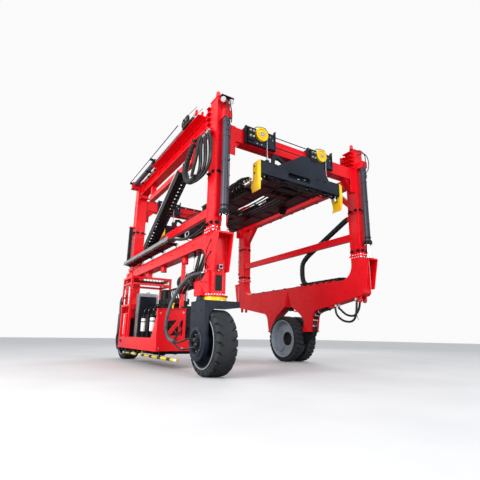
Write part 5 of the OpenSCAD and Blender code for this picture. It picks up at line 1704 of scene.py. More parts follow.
class GANTRY_OT_right_chassis(bpy.types.Operator):
    """Builds the folded plates of the right chassis, its chain tray, hoses, clamps and lugs"""

    bl_idname = "gantry.right_chassis"
    bl_label = "Right chassis"

    LEDGE = 2.18
    GEAR = [(0.11, 0), (0.11, 0.05), (0.08, 0.06), (0.08, 0.12), (0.0, 0.12)]
    # The two thick hoses down the leg to the wheel, in y and z
    LEG_HOSE = (
        (2.045, -1.8, 1.525), (2.045, -1.55, 1.468), (2.045, -1.36, 1.43), (2.045, -1.22, 1.375),
        (2.045, -1.12, 1.285), (2.045, -1.06, 1.16), (2.045, -1.065, 0.98), (2.045, -1.02, 0.8),
        (2.06, -0.9, 0.7)
    )

    def execute(self, context):
        self.plates()
        ease = sizes().edge_ease
        for name, finish in (
            ("axle_carrier", "black_enamel"), ("tie_down_lugs", "red_enamel"), ("chain_tray", "black_enamel")
        ):
            eased_copy(name, finish, ease)
        red, dark, white, hoses = forms(4)
        spots, small = [], []
        self.knees(red, spots, small)
        self.tray(red, dark, small)
        self.underbody(red, dark, white, hoses, small)
        red.piece("right_chassis_ribs", "chassis", "red_enamel", 0.003)
        dark.piece("right_chassis_fittings", "chassis", "black_enamel", 0.003)
        made = hoses.piece("right_chassis_hoses", "chassis", "hose_cover")
        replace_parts(made, "underbody_hoses")
        white.piece("hose_clamps", "chassis", "white_enamel")
        bolts("leg_flange_bolts", "chassis", small, 0.02, "black_enamel")
        bolts("lug_plate_bolts", "chassis", spots, 0.024)
        return {"FINISHED"}

    @staticmethod
    def underside(y):
        """Height of the sloping underside at a place along the beam."""
        return 1.469 + 0.271 * (abs(y) - 1.363) / 1.527

    @staticmethod
    def knees(red, spots, small):
        """Knees under the column flanges and bolts at the lugs and the leg flanges."""
        for sy in SIDES:
            small += [
                ((x, sy * (0.715 + 0.046 * k), 0.865), (0, 0, -1)) for k in range(7) for x in (1.965, 2.235)
            ]
            for dx in (-0.11, -0.055, 0.0, 0.055, 0.11):
                knee = [(sy * 2.62, 2.6), (sy * 2.62, 2.725), (sy * 2.585, 2.725)]
                red.prism("x", knee, COLUMN_X + dx - 0.005, COLUMN_X + dx + 0.005)
            y = sy * COLUMN_Y
            red.prism("y", [(1.95, 2.58), (1.95, 2.725), (1.915, 2.725)], y - 0.006, y + 0.006)
            spots += [((x, sy * 2.78, 1.63), (way, 0, 0)) for x, way in ((2.01, -1), (2.19, 1))]

    def tray(self, red, dark, small):
        """Clamps, rails and pipes on the ledge beside the chain."""
        ledge = self.LEDGE
        for y in (-0.55, -0.8, -1.05, -1.3, -1.55, -1.8, -2.05):
            dark.block((2.035, y - 0.022, ledge), (2.085, y + 0.022, 2.285))
            dark.block((2.245, y - 0.022, ledge), (2.262, y + 0.022, 2.27))
            red.block((1.975, y + 0.06, 2.179), (2.06, y + 0.17, 2.222))
            small.append(((2.06, y, 2.285), (0, 0, 1)))
        dark.rod((2.03, -0.5, 2.278), (2.03, -2.16, 2.278), 0.012)
        for x in (1.99, 2.02):
            dark.rod((x, -0.3, 2.2), (x, -2.2, 2.2), 0.012)
            dark.elbow([(x, -0.3, 2.2), (x, 2.15, 2.2)], 0.01)
        for y in (0.2, 0.8, 1.4, 2.0):
            dark.block((1.97, y - 0.02, 2.179), (2.04, y + 0.02, 2.225))

    def underbody(self, red, dark, white, hoses, small):
        """Slung hoses with their ends, the hoses down the leg with clamps, and the slewing motor."""
        for k, (x, drop) in enumerate(((2.01, 1.12), (2.09, 1.27))):
            a, b = -2.66 - 0.03 * k, -1.96 - 0.05 * k
            top_a, top_b = self.underside(a), self.underside(b)
            hoses.hose(
                [
                    (x, a, top_a + 0.004), (x, a - 0.01, top_a - 0.14), (x, a + 0.05, drop + 0.12),
                    (x, a + 0.2, drop), (x, b - 0.24, drop + 0.03), (x, b - 0.03, drop + 0.18),
                    (x, b + 0.02, top_b - 0.09), (x, b, top_b + 0.004)
                ],
                0.028, 14
            )
            for y, z in ((a, top_a), (b, top_b)):
                white.turned((x, y, z), (0, 0, -1), [(0.036, -0.002), (0.036, 0.06), (0.029, 0.064)], 6)
        hoses.hose(self.LEG_HOSE, 0.034, 14)
        hoses.hose([(x + 0.075, y - 0.012, z) for x, y, z in self.LEG_HOSE], 0.028, 14)
        hoses.hose(
            [(2.0, -2.66, 1.69), (2.0, -2.68, 1.5), (2.01, -2.66, 1.28), (2.01, -2.7, 1.15)], 0.006, 8
        )
        clamp = [(0.036, 0), (0.042, 0), (0.042, 0.026), (0.036, 0.026)]
        for y, z, dy, dz in (
            (-1.3, 1.415, 0.35, 0.94), (-1.16, 1.335, 0.65, 0.75), (-1.085, 1.2, 0.94, 0.35),
            (-1.055, 1.03, 1, -0.1)
        ):
            along = Vector((0, dy, dz)).cross(Vector((1, 0, 0)))
            for x in (2.045, 2.12):
                white.turned(Vector((x, y, z)) - along.normalized() * 0.013, along, clamp, 20, closed=True)
        for y in (-1.45, -1.6):
            dark.block((2.0, y - 0.03, 1.44), (2.16, y + 0.03, 1.475 + 0.177 * (abs(y) - 1.363)))
            small.append(((2.02, y, 1.44), (0, 0, -1)))
        red.block((1.97, -1.92, 1.49), (2.02, -1.72, 1.545))
        dark.turned((COLUMN_X, 0.0, 1.62), (0, 0, -1), self.GEAR, 28)
        dark.block((1.99, -0.16, 1.575), (2.21, 0.16, 1.621))
        hoses.hose([(2.02, 0.1, 1.575), (1.98, 0.2, 1.48), (2.0, 0.36, 1.46), (2.04, 0.42, 1.5)], 0.014)
        hoses.hose(
            [(2.1, -0.1, 1.52), (2.04, -0.24, 1.47), (2.04, -0.36, 1.47), (2.06, -0.42, 1.5)], 0.014
        )

    @staticmethod
    def plates():
        """The beam, uprights and wheel legs as one core between two side plates with a folded recess."""
        half = circle((0.0, 0.665), 0.8977, 6, 62, 36)
        half += [(0.69, 0.89), (1.02, 0.89)]
        half += circle((1.34, 1.21), 0.26, 9, 170, 85)
        half += [(2.89, 1.74), (2.95, 1.8), (2.95, 2.725), (2.62, 2.725)]
        half += circle((2.25, 2.55), 0.37, 9, 0, -90)
        wide, foot, head = 0.165, 1.62, 2.08
        core, skins = forms(2)
        notched = [(-y, z) for y, z in half] + half[::-1]
        core.prism("x", notched + [(wide, foot), (0.0, head), (-wide, foot)], 1.974, 2.226)
        fold = []
        for z in (foot, 2.07):
            w, d = wide * (head - z) / 0.46, 0.085 * (head - z) / 0.46
            fold.append(
                [
                    (1.952, -w, z), (1.952 + d, 0, z), (1.952, w, z), (2.248, w, z), (2.248 - d, 0, z),
                    (2.248, -w, z)
                ]
            )
        core.loft(fold)
        notch = [(wide, foot), (0.015, head), (-0.015, head), (-wide, foot)]
        for low, high in ((1.95, 1.9745), (2.2255, 2.25)):
            skins.prism("x", notched + notch, low, high)
        for sy in SIDES:
            skins.block((1.92, sy * (COLUMN_Y - 0.195), 2.725), (2.28, sy * (COLUMN_Y + 0.195), 2.75))
            skins.block((1.925, sy * 0.685, 0.865), (2.275, sy * 1.025, 0.892))
        for x in (1.944, 2.249):
            for y in (-1.45, 1.45):
                skins.block((x, y - 0.004, 1.5), (x + 0.007, y + 0.004, 2.175))
        made = core.piece("right_chassis_core", "chassis", "red_enamel", 0.004)
        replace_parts(made, "right_chassis_beam", "chassis_uprights", "wheel_legs")
        skins.piece("right_chassis_skins", "chassis", "red_enamel", 0.006)


class GANTRY_OT_wheels(bpy.types.Operator):
    """Builds the tyres with their treads, the rims, the forks and the hubs"""

    bl_idname = "gantry.wheels"
    bl_label = "Wheels"

    RIM_FLANGE = [
        (0.467, -0.02), (0.474, 0.004), (0.468, 0.01), (0.458, 0.008), (0.44, -0.03), (0.432, -0.1),
        (0.44, -0.1)
    ]
    HUB_RING = [
        (0.236, -0.004), (0.244, 0.006), (0.244, 0.022), (0.232, 0.028), (0.222, 0.022), (0.218, -0.038),
        (0.236, -0.038),
    ]
    OUTER_RING = [(0.266, -0.004), (0.27, 0.0), (0.27, 0.008), (0.262, 0.008)]
    HUB_COVER = [
        (0.0, -0.05), (0.219, -0.05), (0.219, -0.036), (0.15, -0.034), (0.135, -0.022), (0.09, -0.018),
        (0.085, 0.004), (0.0, 0.006),
    ]
    HUB_PORT = [(0.015, 0), (0.015, 0.02), (0.011, 0.024), (0.011, 0.05)]
    DISH = [
        (0.53, -0.02), (0.54, 0.004), (0.534, 0.012), (0.52, 0.01), (0.5, -0.03), (0.488, -0.055),
        (0.484, -0.13), (0.474, -0.19), (0.452, -0.215), (0.415, -0.222), (0.29, -0.218), (0.25, -0.212),
        (0.226, -0.205), (0.204, -0.204), (0.196, -0.21), (0.196, -0.3), (0.53, -0.3),
    ]
    GUSSET = [
        (0.3, -0.219), (0.47, -0.195), (0.486, -0.1), (0.476, -0.1), (0.44, -0.165), (0.3, -0.185)
    ]
    TOOTH = [(0.0, -0.01), (0.021, -0.01), (0.021, 0.006), (0.016, 0.012), (0.0, 0.012)]
    DRIVE_HUB = [
        (0.0, -0.34), (0.197, -0.34), (0.197, -0.214), (0.178, -0.21), (0.15, -0.24), (0.115, -0.25),
        (0.0, -0.25)
    ]
    GEARBOX = [
        (0.0, 0), (0.19, 0), (0.19, 0.055), (0.165, 0.068), (0.165, 0.1), (0.14, 0.115), (0.14, 0.14),
        (0.0, 0.143)
    ]

    def execute(self, context):
        for name, side in (("near", -1), ("far", 1)):
            body = name + "_left_wheel"
            centre = (-COLUMN_X, side * COLUMN_Y, STEER_RADIUS)
            made = self.tyre(
                name + "_left_tyre_tread", body, centre, STEER_RADIUS, 0.43, 0.468, self.hooks, 22
            )
            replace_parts(made, name + "_left_tyre")
            self.steer_rim(name, body, centre)
            self.fork(name, side)
        centre = (COLUMN_X, 0, DRIVE_RADIUS)
        offsets = (-0.235, 0.235)
        made = self.tyre(
            "drive_tyre_treads", "drive_wheel", centre, DRIVE_RADIUS, 0.3, 0.532, self.chevrons, 30, offsets
        )
        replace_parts(made, "drive_tyres")
        self.drive_rims()
        return {"FINISHED"}

    @staticmethod
    def hooks(turns, across, count):
        """Depth of the curved notches on the shoulders, where across runs from -1 to 1."""
        depth = np.zeros(np.broadcast(turns, across).shape)
        for side in SIDES:
            reach = (1 - side * across) / 2
            shift = 0.5 if side > 0 else 0.0
            bend = np.clip((reach - 0.1) / 0.16, 0, 1) ** 2 * 0.3
            beat = (turns * count / (2 * pi) + shift + bend) % 1
            wide = 0.13 * np.clip(1.2 - reach / 0.34, 0, 1)
            near = np.clip((wide - abs(beat - 0.5)) / 0.02, 0, 1)
            near *= np.clip((0.3 - reach) / 0.015, 0, 1)
            depth = np.maximum(depth, near * (0.046 - 0.03 * reach))
        return depth

    @staticmethod
    def chevrons(turns, across, count):
        """Depth of zigzag grooves over the full width, wider at the shoulders."""
        zigzag = 0.42 * abs((across + 1) % 1.0 - 0.5) + 0.3 * across
        beat = (turns * count / (2 * pi) + zigzag) % 1
        wide = 0.105 + 0.07 * np.clip(abs(across) - 0.55, 0, 1)
        return np.clip((wide - abs(beat - 0.5)) / 0.045, 0, 1) * 0.038

    @staticmethod
    def tyre(name, body, centre, radius, width, bore, pattern, count, offsets=(0.0,)):
        """A solid tyre: smooth side walls with ridges and a tread cut by a pattern."""
        ridges = (
            (0.0, 0.0), (0.006, -0.004), (0.016, -0.004), (0.02, 0.004), (0.04, 0.006), (0.044, 0.001),
            (0.05, 0.001), (0.054, 0.008),
        )
        wall = [(bore + r, h) for r, h in ridges] + [(radius - 0.05, 0.01)]
        half = width / 2
        tread = []
        for u in np.linspace(-1, 1, 40):
            edge = max(0.0, abs(u) - 0.8) / 0.2
            tread.append((radius - 0.004 * u * u - 0.036 * edge ** 2.2, u * half))
        points = [(r, -half + h) for r, h in wall] + tread + [(r, half - h) for r, h in reversed(wall)]
        r, x = np.array(points).T
        steps = count * 26
        turns = np.arange(steps)[:, None] * 2 * pi / steps
        cutting = pattern(turns, np.clip(x / half, -1, 1)[None, :], count)
        cutting = cutting * np.clip((r - (radius - 0.056)) / 0.012, 0, 1)
        reach = r - cutting
        columns = len(points)
        corners, faces = [], []
        for shift in offsets:
            start = len(corners)
            px = np.broadcast_to(x + shift + centre[0], reach.shape)
            py = reach * np.sin(turns) + centre[1]
            pz = reach * np.cos(turns) + centre[2]
            corners += np.stack((px, py, pz), -1).reshape(-1, 3).tolist()
            for i in range(steps):
                a, b = start + i * columns, start + (i + 1) % steps * columns
                faces += [
                    (a + k, a + (k + 1) % columns, b + (k + 1) % columns, b + k) for k in range(columns)
                ]
        mesh = bpy.data.meshes.new(name)
        mesh.from_pydata(corners, [], faces)
        return piece(mend(mesh), name, body, "tyre_tread", crease=32)

    def steer_rim(self, name, body, centre):
        """A steered wheel's rim: pale flanges, a dark dish and a bolted hub."""
        x, y, z = centre
        rim = Form()
        for way in SIDES:
            rim.turned((x + way * 0.215, y, z), (way, 0, 0), self.RIM_FLANGE, 96, closed=True)
        rim.piece(name + "_left_rim_flanges", body, "rim_enamel")
        eased_copy(name + "_left_rim", "navy_enamel", 0.004)
        dish = [((x - 0.196, y + 0.155 * c, z + 0.155 * s), (-1, 0, 0)) for c, s in around(10)]
        bolts(name + "_left_rim_bolts", body, dish, 0.03)

    def fork(self, name, side):
        """A half fork with a rounded inner corner, hub rings, ports and bolts."""
        body = name + "_steer_fork"
        y, left, sweep = side * COLUMN_Y, (-1, 0, 0), 0.25
        eased_copy(name + "_fork", "navy_enamel", 0.01, 3)
        fill, rings, dark, bright, stop = forms(5)
        corner = [(-2.346, 1.236), (-2.346, 0.99)]
        corner += [
            (-2.346 + sweep - sweep * cos(t), 0.986 + sweep * sin(t))
            for t in (pi / 20 * k for k in range(11))
        ]
        fill.prism("y", corner, y - 0.298, y + 0.298)
        fill.block((-2.437, y - 0.302, 1.336), (-1.7, y + 0.302, 1.346))
        fill.piece(name + "_fork_corner", body, "navy_enamel", 0.004)
        hub = (-2.435, y, STEER_RADIUS)
        rings.turned(hub, left, self.HUB_RING, 80, closed=True)
        rings.turned(hub, left, self.OUTER_RING, 80, closed=True)
        rings.piece(name + "_hub_rings", body, "slate_enamel")
        dark.turned(hub, left, self.HUB_COVER, 56)
        spots = [((-2.403, y + 0.165 * c, STEER_RADIUS + 0.165 * s), left) for c, s in around(8, 0.2)]
        for dy, dz in ((0.045, 0.035), (-0.045, -0.035), (0.0, 0.06)):
            bright.turned((-2.445, y + dy, STEER_RADIUS + dz), left, self.HUB_PORT, 6)
        for dy in (-0.16, 0.16):
            dark.turned((-2.434, y + dy, 1.17), left, plug(0.024, 0.004), 20)
        spots += [
            ((x, y + dy, 1.346), (0, 0, 1)) for dy in (-0.24, -0.08, 0.08, 0.24) for x in (-2.05, -1.85)
        ]
        stop.prism(
            "x", [(y - 0.1, 1.346), (y + 0.1, 1.346), (y + 0.03, 1.5), (y - 0.03, 1.5)], -2.435, -2.39
        )
        stop.piece(name + "_fork_stop", body, "navy_enamel", 0.004)
        dark.piece(name + "_fork_fittings", body, "black_enamel", 0.002)
        bright.piece(name + "_hub_ports", body, "zinc")
        bolts(name + "_fork_bolts", body, spots, 0.022)

    def drive_rims(self):
        """The paired rims: flanges, dished discs, gusset ribs, the toothed hub and its gearbox."""
        rims, dark, gear = forms(3)
        dish = []
        cz = DRIVE_RADIUS
        for way in SIDES:
            c = (COLUMN_X + way * 0.385, 0, cz)
            out = (way, 0, 0)
            rims.turned(c, out, self.DISH, 96, closed=True)
            for a, b in around(4, 0.62):
                u, v = Vector((0, a, b)), Vector((0, -b, a))
                rims.loft([
                    [Vector(c) + u * r + Vector((way * h, 0, 0)) + v * t for r, h in self.GUSSET]
                    for t in (-0.008, 0.008)
                ])
            for a, b in around(20):
                gear.turned((c[0] - way * 0.206, 0.186 * a, cz + 0.186 * b), out, self.TOOTH, 8)
            gear.turned(c, out, self.DRIVE_HUB, 48)
            dish += [((c[0] - way * 0.2175, 0.34 * a, cz + 0.34 * b), out) for a, b in around(16, pi / 16)]
        made = rims.piece("drive_rim_dishes", "drive_wheel", "rim_enamel")
        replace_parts(made, "drive_rims")
        gear.piece("drive_hubs", "drive_wheel", "black_enamel")
        dark.turned((2.475, 0, cz), "x", self.GEARBOX, 48)
        dark.piece("drive_gearbox", "drive_wheel", "black_enamel")


class GANTRY_OT_power_pack(bpy.types.Operator):
    """Builds the power pack's base, operator's frame, radiator, engine and belly parts"""

    bl_idname = "gantry.power_pack"
    bl_label = "Power pack"

    X0, X1, Y0, Y1 = -2.62, -1.45, -1.17, 2.04
    ENGINE_X = -1.73
    GUARD_X, GUARD_Z = -2.47, 0.24
    KNOB = [(0.0, -0.016), (0.013, -0.01), (0.016, 0.004), (0.01, 0.016), (0.0, 0.018)]
    CANISTER = [(0.0, 0), (0.058, 0), (0.07, 0.014), (0.07, 0.31), (0.058, 0.332), (0.0, 0.332)]
    CANISTER_CAP = [
        (0.0, 0), (0.06, 0), (0.07, 0.01), (0.07, 0.05), (0.04, 0.062), (0.04, 0.1), (0.0, 0.1)
    ]
    SILENCER = [
        (0.0, 0), (0.19, 0), (0.215, 0.02), (0.215, 0.06), (0.203, 0.07), (0.203, 0.6), (0.215, 0.61),
        (0.215, 0.65), (0.19, 0.67), (0.0, 0.67),
    ]
    PUMP = [(0.0, 0), (0.055, 0), (0.055, 0.05), (0.04, 0.06), (0.04, 0.1), (0.0, 0.11)]
    UNION = [(0.0, 0), (0.028, 0), (0.028, 0.02), (0.018, 0.026), (0.018, 0.05)]
    FILLER = [(0.034, 0), (0.04, 0.006), (0.04, 0.032), (0.03, 0.04), (0.0, 0.04)]
    SUMP = [(0.0, 0), (0.12, 0), (0.12, 0.03), (0.08, 0.05), (0.0, 0.05)]

    def execute(self, context):
        for name, finish, ease in (
            ("power_pack_base", "red_enamel", 0.006), ("operator_frame", "red_enamel", 0.005),
            ("engine", "black_enamel", 0.006), ("radiator", "galvanised", 0.004),
        ):
            eased_copy(name, finish, ease)
        self.base()
        self.place()
        self.cooler()
        self.motor()
        self.belly()
        return {"FINISHED"}

    def base(self):
        """Lips, cross members and bolts of the floor."""
        red, box = forms(2)
        x0, x1, y0, y1 = self.X0, self.X1, self.Y0, self.Y1
        red.block((x0 - 0.006, y0 + 0.1, 0.645), (x0 + 0.06, y1, 0.658))
        red.block((x0 - 0.004, y0 - 0.004, 0.372), (x0 + 0.06, y1, 0.384))
        red.block((x1 - 0.06, y0, 0.645), (x1 + 0.006, y1, 0.658))
        for y in (-0.7, 0.1, 0.9, 1.6):
            red.block((x0 + 0.06, y - 0.03, 0.46), (x1 - 0.06, y + 0.03, 0.6))
        sill = [(x0 - 0.008, 1.268), (-1.955, 1.298), (-1.955, 1.312), (x0 - 0.008, 1.286)]
        red.prism("y", sill, y0 - 0.022, y0 + 0.06)
        red.block((x0 - 0.004, y0 + 0.018, 0.64), (x0 + 0.012, y0 + 0.07, 1.275))
        gusset = [(y0 + 0.02, 0.65), (y0 + 0.02, 1.15), (y0 + 0.07, 1.15), (y0 + 0.38, 0.65)]
        red.prism("x", gusset, x0 + 0.001, x0 + 0.011)
        spots = [((x0, y, z), (-1, 0, 0)) for z in (0.5, 0.58) for y in (1.72, 1.8)]
        for x, z in ((-2.56, 0.44), (-2.56, 1.18), (-2.02, 0.44), (-2.02, 1.22)):
            spots.append(((x, y0 - 0.001, z), (0, -1, 0)))
        box.block((x0 - 0.022, 1.735, 0.52), (x0 + 0.002, 1.83, 0.6))
        red.piece("pack_lips", "chassis", "red_enamel", 0.003)
        box.piece("pack_socket", "chassis", "black_enamel", 0.004)
        bolts("pack_bolts", "chassis", spots, 0.022)

    def place(self):
        """The operator's place: panel, seat, levers, bright hand rails and a roof mesh."""
        red, dark, bright, mesh = forms(4)
        x0, x1, y0, y1 = self.X0, self.X1, 1.18, 1.98
        floor = 0.66
        red.block((x0 + 0.02, y0 + 0.09, floor), (x0 + 0.032, y1 - 0.03, 1.3))
        red.block((x0 + 0.06, y1 + 0.02, floor), (x1 - 0.06, y1 + 0.032, 1.46))
        red.block((x0 + 0.1, y0 + 0.03, 0.652), (x1 - 0.1, y1, 0.664))
        for y in (y0 + 0.14, y1 - 0.12):
            red.block((x0 - 0.03, y - 0.03, floor), (x0 + 0.02, y + 0.03, 1.28))
        rail = [(y0 + 0.2, 1.5), (y0 + 0.2, 2.04), (y1 - 0.16, 2.04), (y1 - 0.16, 1.5), (y0 + 0.2, 1.5)]
        bright.elbow([(x0 + 0.02, y, z) for y, z in rail], 0.017, 0.07)
        grip = ((-0.02, 0.7), (-0.06, 0.72), (-0.06, 1.25), (-0.02, 1.27))
        bright.elbow([(x0 + dx, y0 + 0.2, z) for dx, z in grip], 0.015, 0.03)
        dark.block((-2.25, y1 - 0.36, 0.95), (-1.8, y1 - 0.02, 1.06))
        dark.prism("x", [(y1 - 0.1, 1.05), (y1 - 0.02, 1.05), (y1, 1.5), (y1 - 0.06, 1.5)], -2.25, -1.8)
        dark.block((-2.12, y1 - 0.26, floor), (-1.94, y1 - 0.1, 0.95))
        dark.block((-2.5, y0 + 0.1, floor), (-1.6, y0 + 0.24, 1.16))
        desk = ((0.06, 1.16), (0.28, 1.16), (0.28, 1.22), (0.1, 1.32), (0.06, 1.32))
        dark.prism("x", [(y0 + dy, z) for dy, z in desk], -2.4, -1.7)
        for k in range(5):
            x = -2.3 + 0.12 * k
            bright.rod((x, y0 + 0.22, 1.24), (x, y0 + 0.25, 1.36), 0.006)
            dark.turned((x, y0 + 0.253, 1.375), "z", self.KNOB, 14)
        wires = [
            ((x0 + 0.06 + 0.066 * k, y0 + 0.05, 2.2), (x0 + 0.06 + 0.066 * k, y1, 2.2)) for k in range(16)
        ]
        wires += [
            ((x0 + 0.06, y0 + 0.06 + 0.1 * k, 2.205), (x1 - 0.06, y0 + 0.06 + 0.1 * k, 2.205))
            for k in range(9)
        ]
        wires += [
            ((x0 + 0.075 + 0.088 * k, y0 + 0.03, 2.1), (x0 + 0.075 + 0.088 * k, y0 + 0.03, 2.27))
            for k in range(12)
        ]
        for start, end in wires:
            mesh.rod(start, end, 0.006, 6)
        for k in range(3):
            dark.turned((x0 - 0.02, y0 + 0.25 + 0.12 * k, 1.72), (-1, 0, 0), plug(0.025, 0.02), 16)
        dark.turned((x0 - 0.035, y1 - 0.1, 1.55), "z", [(0.03, 0), (0.03, 0.08), (0.0, 0.085)], 18)
        red.piece("operator_panels", "chassis", "red_enamel", 0.003)
        dark.piece("operator_console", "chassis", "black_enamel", 0.006)
        bright.piece("operator_hand_rails", "chassis", "zinc")
        mesh.piece("operator_roof_mesh", "chassis", "maroon_enamel")

    def cooler(self):
        """Fins, tubes and tanks of the radiator."""
        low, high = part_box("radiator")
        core, tanks, fins = forms(3)
        core.block(
            (low.x + 0.035, low.y - 0.004, low.z + 0.05), (high.x - 0.035, low.y + 0.05, high.z - 0.05)
        )
        for z in np.linspace(low.z + 0.075, high.z - 0.075, 38):
            fins.block((low.x + 0.045, low.y - 0.01, z - 0.004), (high.x - 0.045, low.y - 0.002, z + 0.004))
        for z0, z1 in ((high.z - 0.04, high.z + 0.05), (low.z, low.z + 0.06)):
            tanks.block((low.x - 0.01, low.y - 0.03, z0), (high.x + 0.01, high.y + 0.01, z1))
        for x in (low.x - 0.014, high.x - 0.004):
            tanks.block((x, low.y - 0.03, low.z), (x + 0.018, high.y + 0.005, high.z + 0.02))
        neck = [(0.05, 0), (0.05, 0.03), (0.036, 0.04), (0.0, 0.04)]
        tanks.turned((low.x + 0.26, low.y + 0.06, high.z + 0.05), "z", neck, 20)
        core.piece("radiator_core", "chassis", "navy_enamel")
        fins.piece("radiator_fins", "chassis", "black_enamel")
        tanks.piece("radiator_tanks", "chassis", "galvanised", 0.003)

    def motor(self):
        """Canisters, silencer, pipes, hoses and the dark gear around the engine."""
        white, dark, bright, hoses, cap, bands = forms(6)
        for k in range(3):
            x, y = -2.38, -0.14 + 0.35 * k
            (bands if k == 1 else white).turned((x, y, 0.8), "z", self.CANISTER, 32)
            bands.turned((x, y, 1.13), "z", self.CANISTER_CAP, 28)
            bands.turned((x, y, 1.03), "z", ring(0.0695, 0.074, 0.026), 32, closed=True)
            white.rod((x, y, 1.22), (x, y, 1.34), 0.012)
            bands.rod((x, y, 0.46), (x, y, 0.8), 0.032, 16)
            bright.elbow([(x + 0.04, y, 1.19), (x + 0.16, y, 1.24), (x + 0.3, y + 0.05, 1.2)], 0.014, 0.03)
            hoses.hose(
                [
                    (x, y - 0.03, 1.2), (x - 0.03, y - 0.1, 1.3), (x + 0.08, y - 0.05, 1.4),
                    (x + 0.26, y + 0.02, 1.3)
                ],
                0.018
            )
        made = white.piece("white_canisters", "chassis", "white_enamel")
        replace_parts(made, "air_filters")
        bands.piece("canister_caps", "chassis", "black_enamel")
        x = self.ENGINE_X
        dark.turned((x, -1.18, 2.0), "y", self.SILENCER, 44)
        for y in (-0.98, -0.72):
            bright.turned((x, y, 2.0), "y", ring(0.204, 0.209, 0.025), 44, closed=True)
        for k in range(3):
            way = [(-2.03 + 0.07 * k, -0.98, 1.5), (-2.03 + 0.07 * k, -0.98, 2.1), (-1.93, -0.98, 2.16)]
            bright.elbow(way, 0.026, 0.06, 16)
        for k in range(9):
            y = -0.62 + 0.16 * k
            dark.turned((-1.92, y, 1.3 + 0.05 * (k % 3)), (-1, 0, 0.15), self.PUMP, 18)
            hoses.hose([
                (-1.95, y, 1.36), (-2.08, y - 0.05, 1.45 + 0.05 * (k % 2)), (-2.16, y - 0.12, 1.36),
                (-2.14, y - 0.22, 1.12), (-2.02, y - 0.26, 0.92),
            ], 0.016)
            bright.turned((-1.915, y + 0.06, 0.98 + 0.08 * (k % 2)), (-1, 0, 0), self.UNION, 6)
        for k in range(6):
            y = -1.05 + 0.13 * k
            hoses.hose([
                (-1.78, y, 0.92), (-1.95, y - 0.04, 0.86), (-2.12, y - 0.1, 0.74),
                (-2.22, y - 0.14, 0.6 + 0.03 * k), (-2.12, y - 0.08, 0.52),
            ], 0.018)
            hoses.hose(
                [(-2.0, y, 1.44), (-2.1, y - 0.02, 1.6), (-2.06, y + 0.1, 1.78), (-1.92, y + 0.12, 1.86)],
                0.015
            )
        dark.block((-2.06, -1.12, 0.9), (-1.62, -0.78, 1.36))
        dark.block((-2.1, -0.55, 1.46), (-1.62, 0.35, 1.6))
        dark.turned((-2.0, 0.1, 1.6), "z", [(0.13, 0), (0.13, 0.22), (0.1, 0.25), (0.0, 0.25)], 28)
        for k in range(4):
            bright.rod((-1.96, -1.0 + 0.07 * k, 0.56), (-2.24 + 0.03 * k, -1.06 + 0.07 * k, 0.92), 0.01)
        self.fan(dark)
        cap.turned((-2.2, -0.96, 1.4), "z", self.FILLER, 20)
        cap.rod((-2.2, -0.96, 1.26), (-2.2, -0.96, 1.4), 0.018)
        spots = [((-1.92, y, z), (-1, 0, 0)) for y in (-0.2, 0.1, 0.4, 0.7) for z in (0.72, 0.88)]
        dark.piece("engine_gear", "chassis", "black_enamel", 0.003)
        bright.piece("engine_tubes", "chassis", "zinc")
        hoses.piece("engine_hoses", "chassis", "hose_cover")
        cap.piece("filler_cap", "chassis", "yellow_enamel")
        bolts("engine_bolts", "chassis", spots, 0.03)

    def fan(self, dark):
        """The fan's shroud and seven twisted blades."""
        shroud = [(0.26, -0.02), (0.3, -0.02), (0.3, 0.03), (0.26, 0.03)]
        dark.turned((self.ENGINE_X, 0.82, 1.05), "y", shroud, 40, closed=True)
        hub = Vector((self.ENGINE_X, 0.84, 1.05))
        root = (0.05, ((-0.03, -0.01), (0.03, 0.01), (0.03, 0.016), (-0.03, -0.004)))
        tip = (0.25, ((-0.05, -0.02), (0.05, 0.02), (0.05, 0.026), (-0.05, -0.014)))
        for a, b in around(7):
            u, v = Vector((a, 0, b)), Vector((-b, 0, a))
            dark.loft(
                [[hub + u * r + v * t + Vector((0, w, 0)) for t, w in section] for r, section in (root, tip)]
            )

    def belly(self):
        """Dark tanks, pipes and brackets under the floor, and the striped guard rods."""
        dark, bars, tips = forms(3)
        for x, y0, y1, r in (
            (-2.36, -0.95, -0.15, 0.085), (-2.36, 0.05, 0.95, 0.085), (-2.08, -1.0, 0.2, 0.06)
        ):
            far = y1 - y0
            tank = [(0.0, 0), (r * 0.8, 0), (r, 0.02), (r, far - 0.02), (r * 0.8, far), (0.0, far)]
            dark.turned((x, y0, 0.355), "y", tank, 24)
        for y in (-0.8, -0.3, 0.3, 0.8, 1.4, 1.8):
            dark.block((-2.56, y - 0.03, 0.3), (-1.55, y + 0.03, 0.385))
        dark.block((-2.5, 1.2, 0.22), (-2.2, 1.95, 0.385))
        dark.turned((-2.35, 1.55, 0.22), (0, 0, -1), self.SUMP, 24)
        dark.piece("pack_belly", "chassis", "black_enamel", 0.006)
        x, z = self.GUARD_X, self.GUARD_Z
        sleeve = [(0.0321, 0), (0.0335, 0.001), (0.0335, 0.149), (0.0321, 0.15)]
        for a, b in ((-2.05, 0.42), (0.8, 1.9)):
            far = b - a
            bar = [(0.0, 0), (0.027, 0), (0.032, 0.006), (0.032, far - 0.006), (0.027, far), (0.0, far)]
            bars.turned((x, a, z), "y", bar, 24)
            for y in (a - 0.001, b - 0.149):
                tips.turned((x, y, z), "y", sleeve, 24, closed=True)
            for y in (max(a, self.Y0) + 0.15, b - 0.2):
                bars.block((x - 0.015, y - 0.015, z), (x + 0.015, y + 0.015, 0.38))
        made = bars.piece("striped_guard_rods", "chassis", "guard_stripes", 0.0)
        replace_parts(made, "bumper_bars")
        tips.piece("guard_rod_tips", "chassis", "white_enamel")


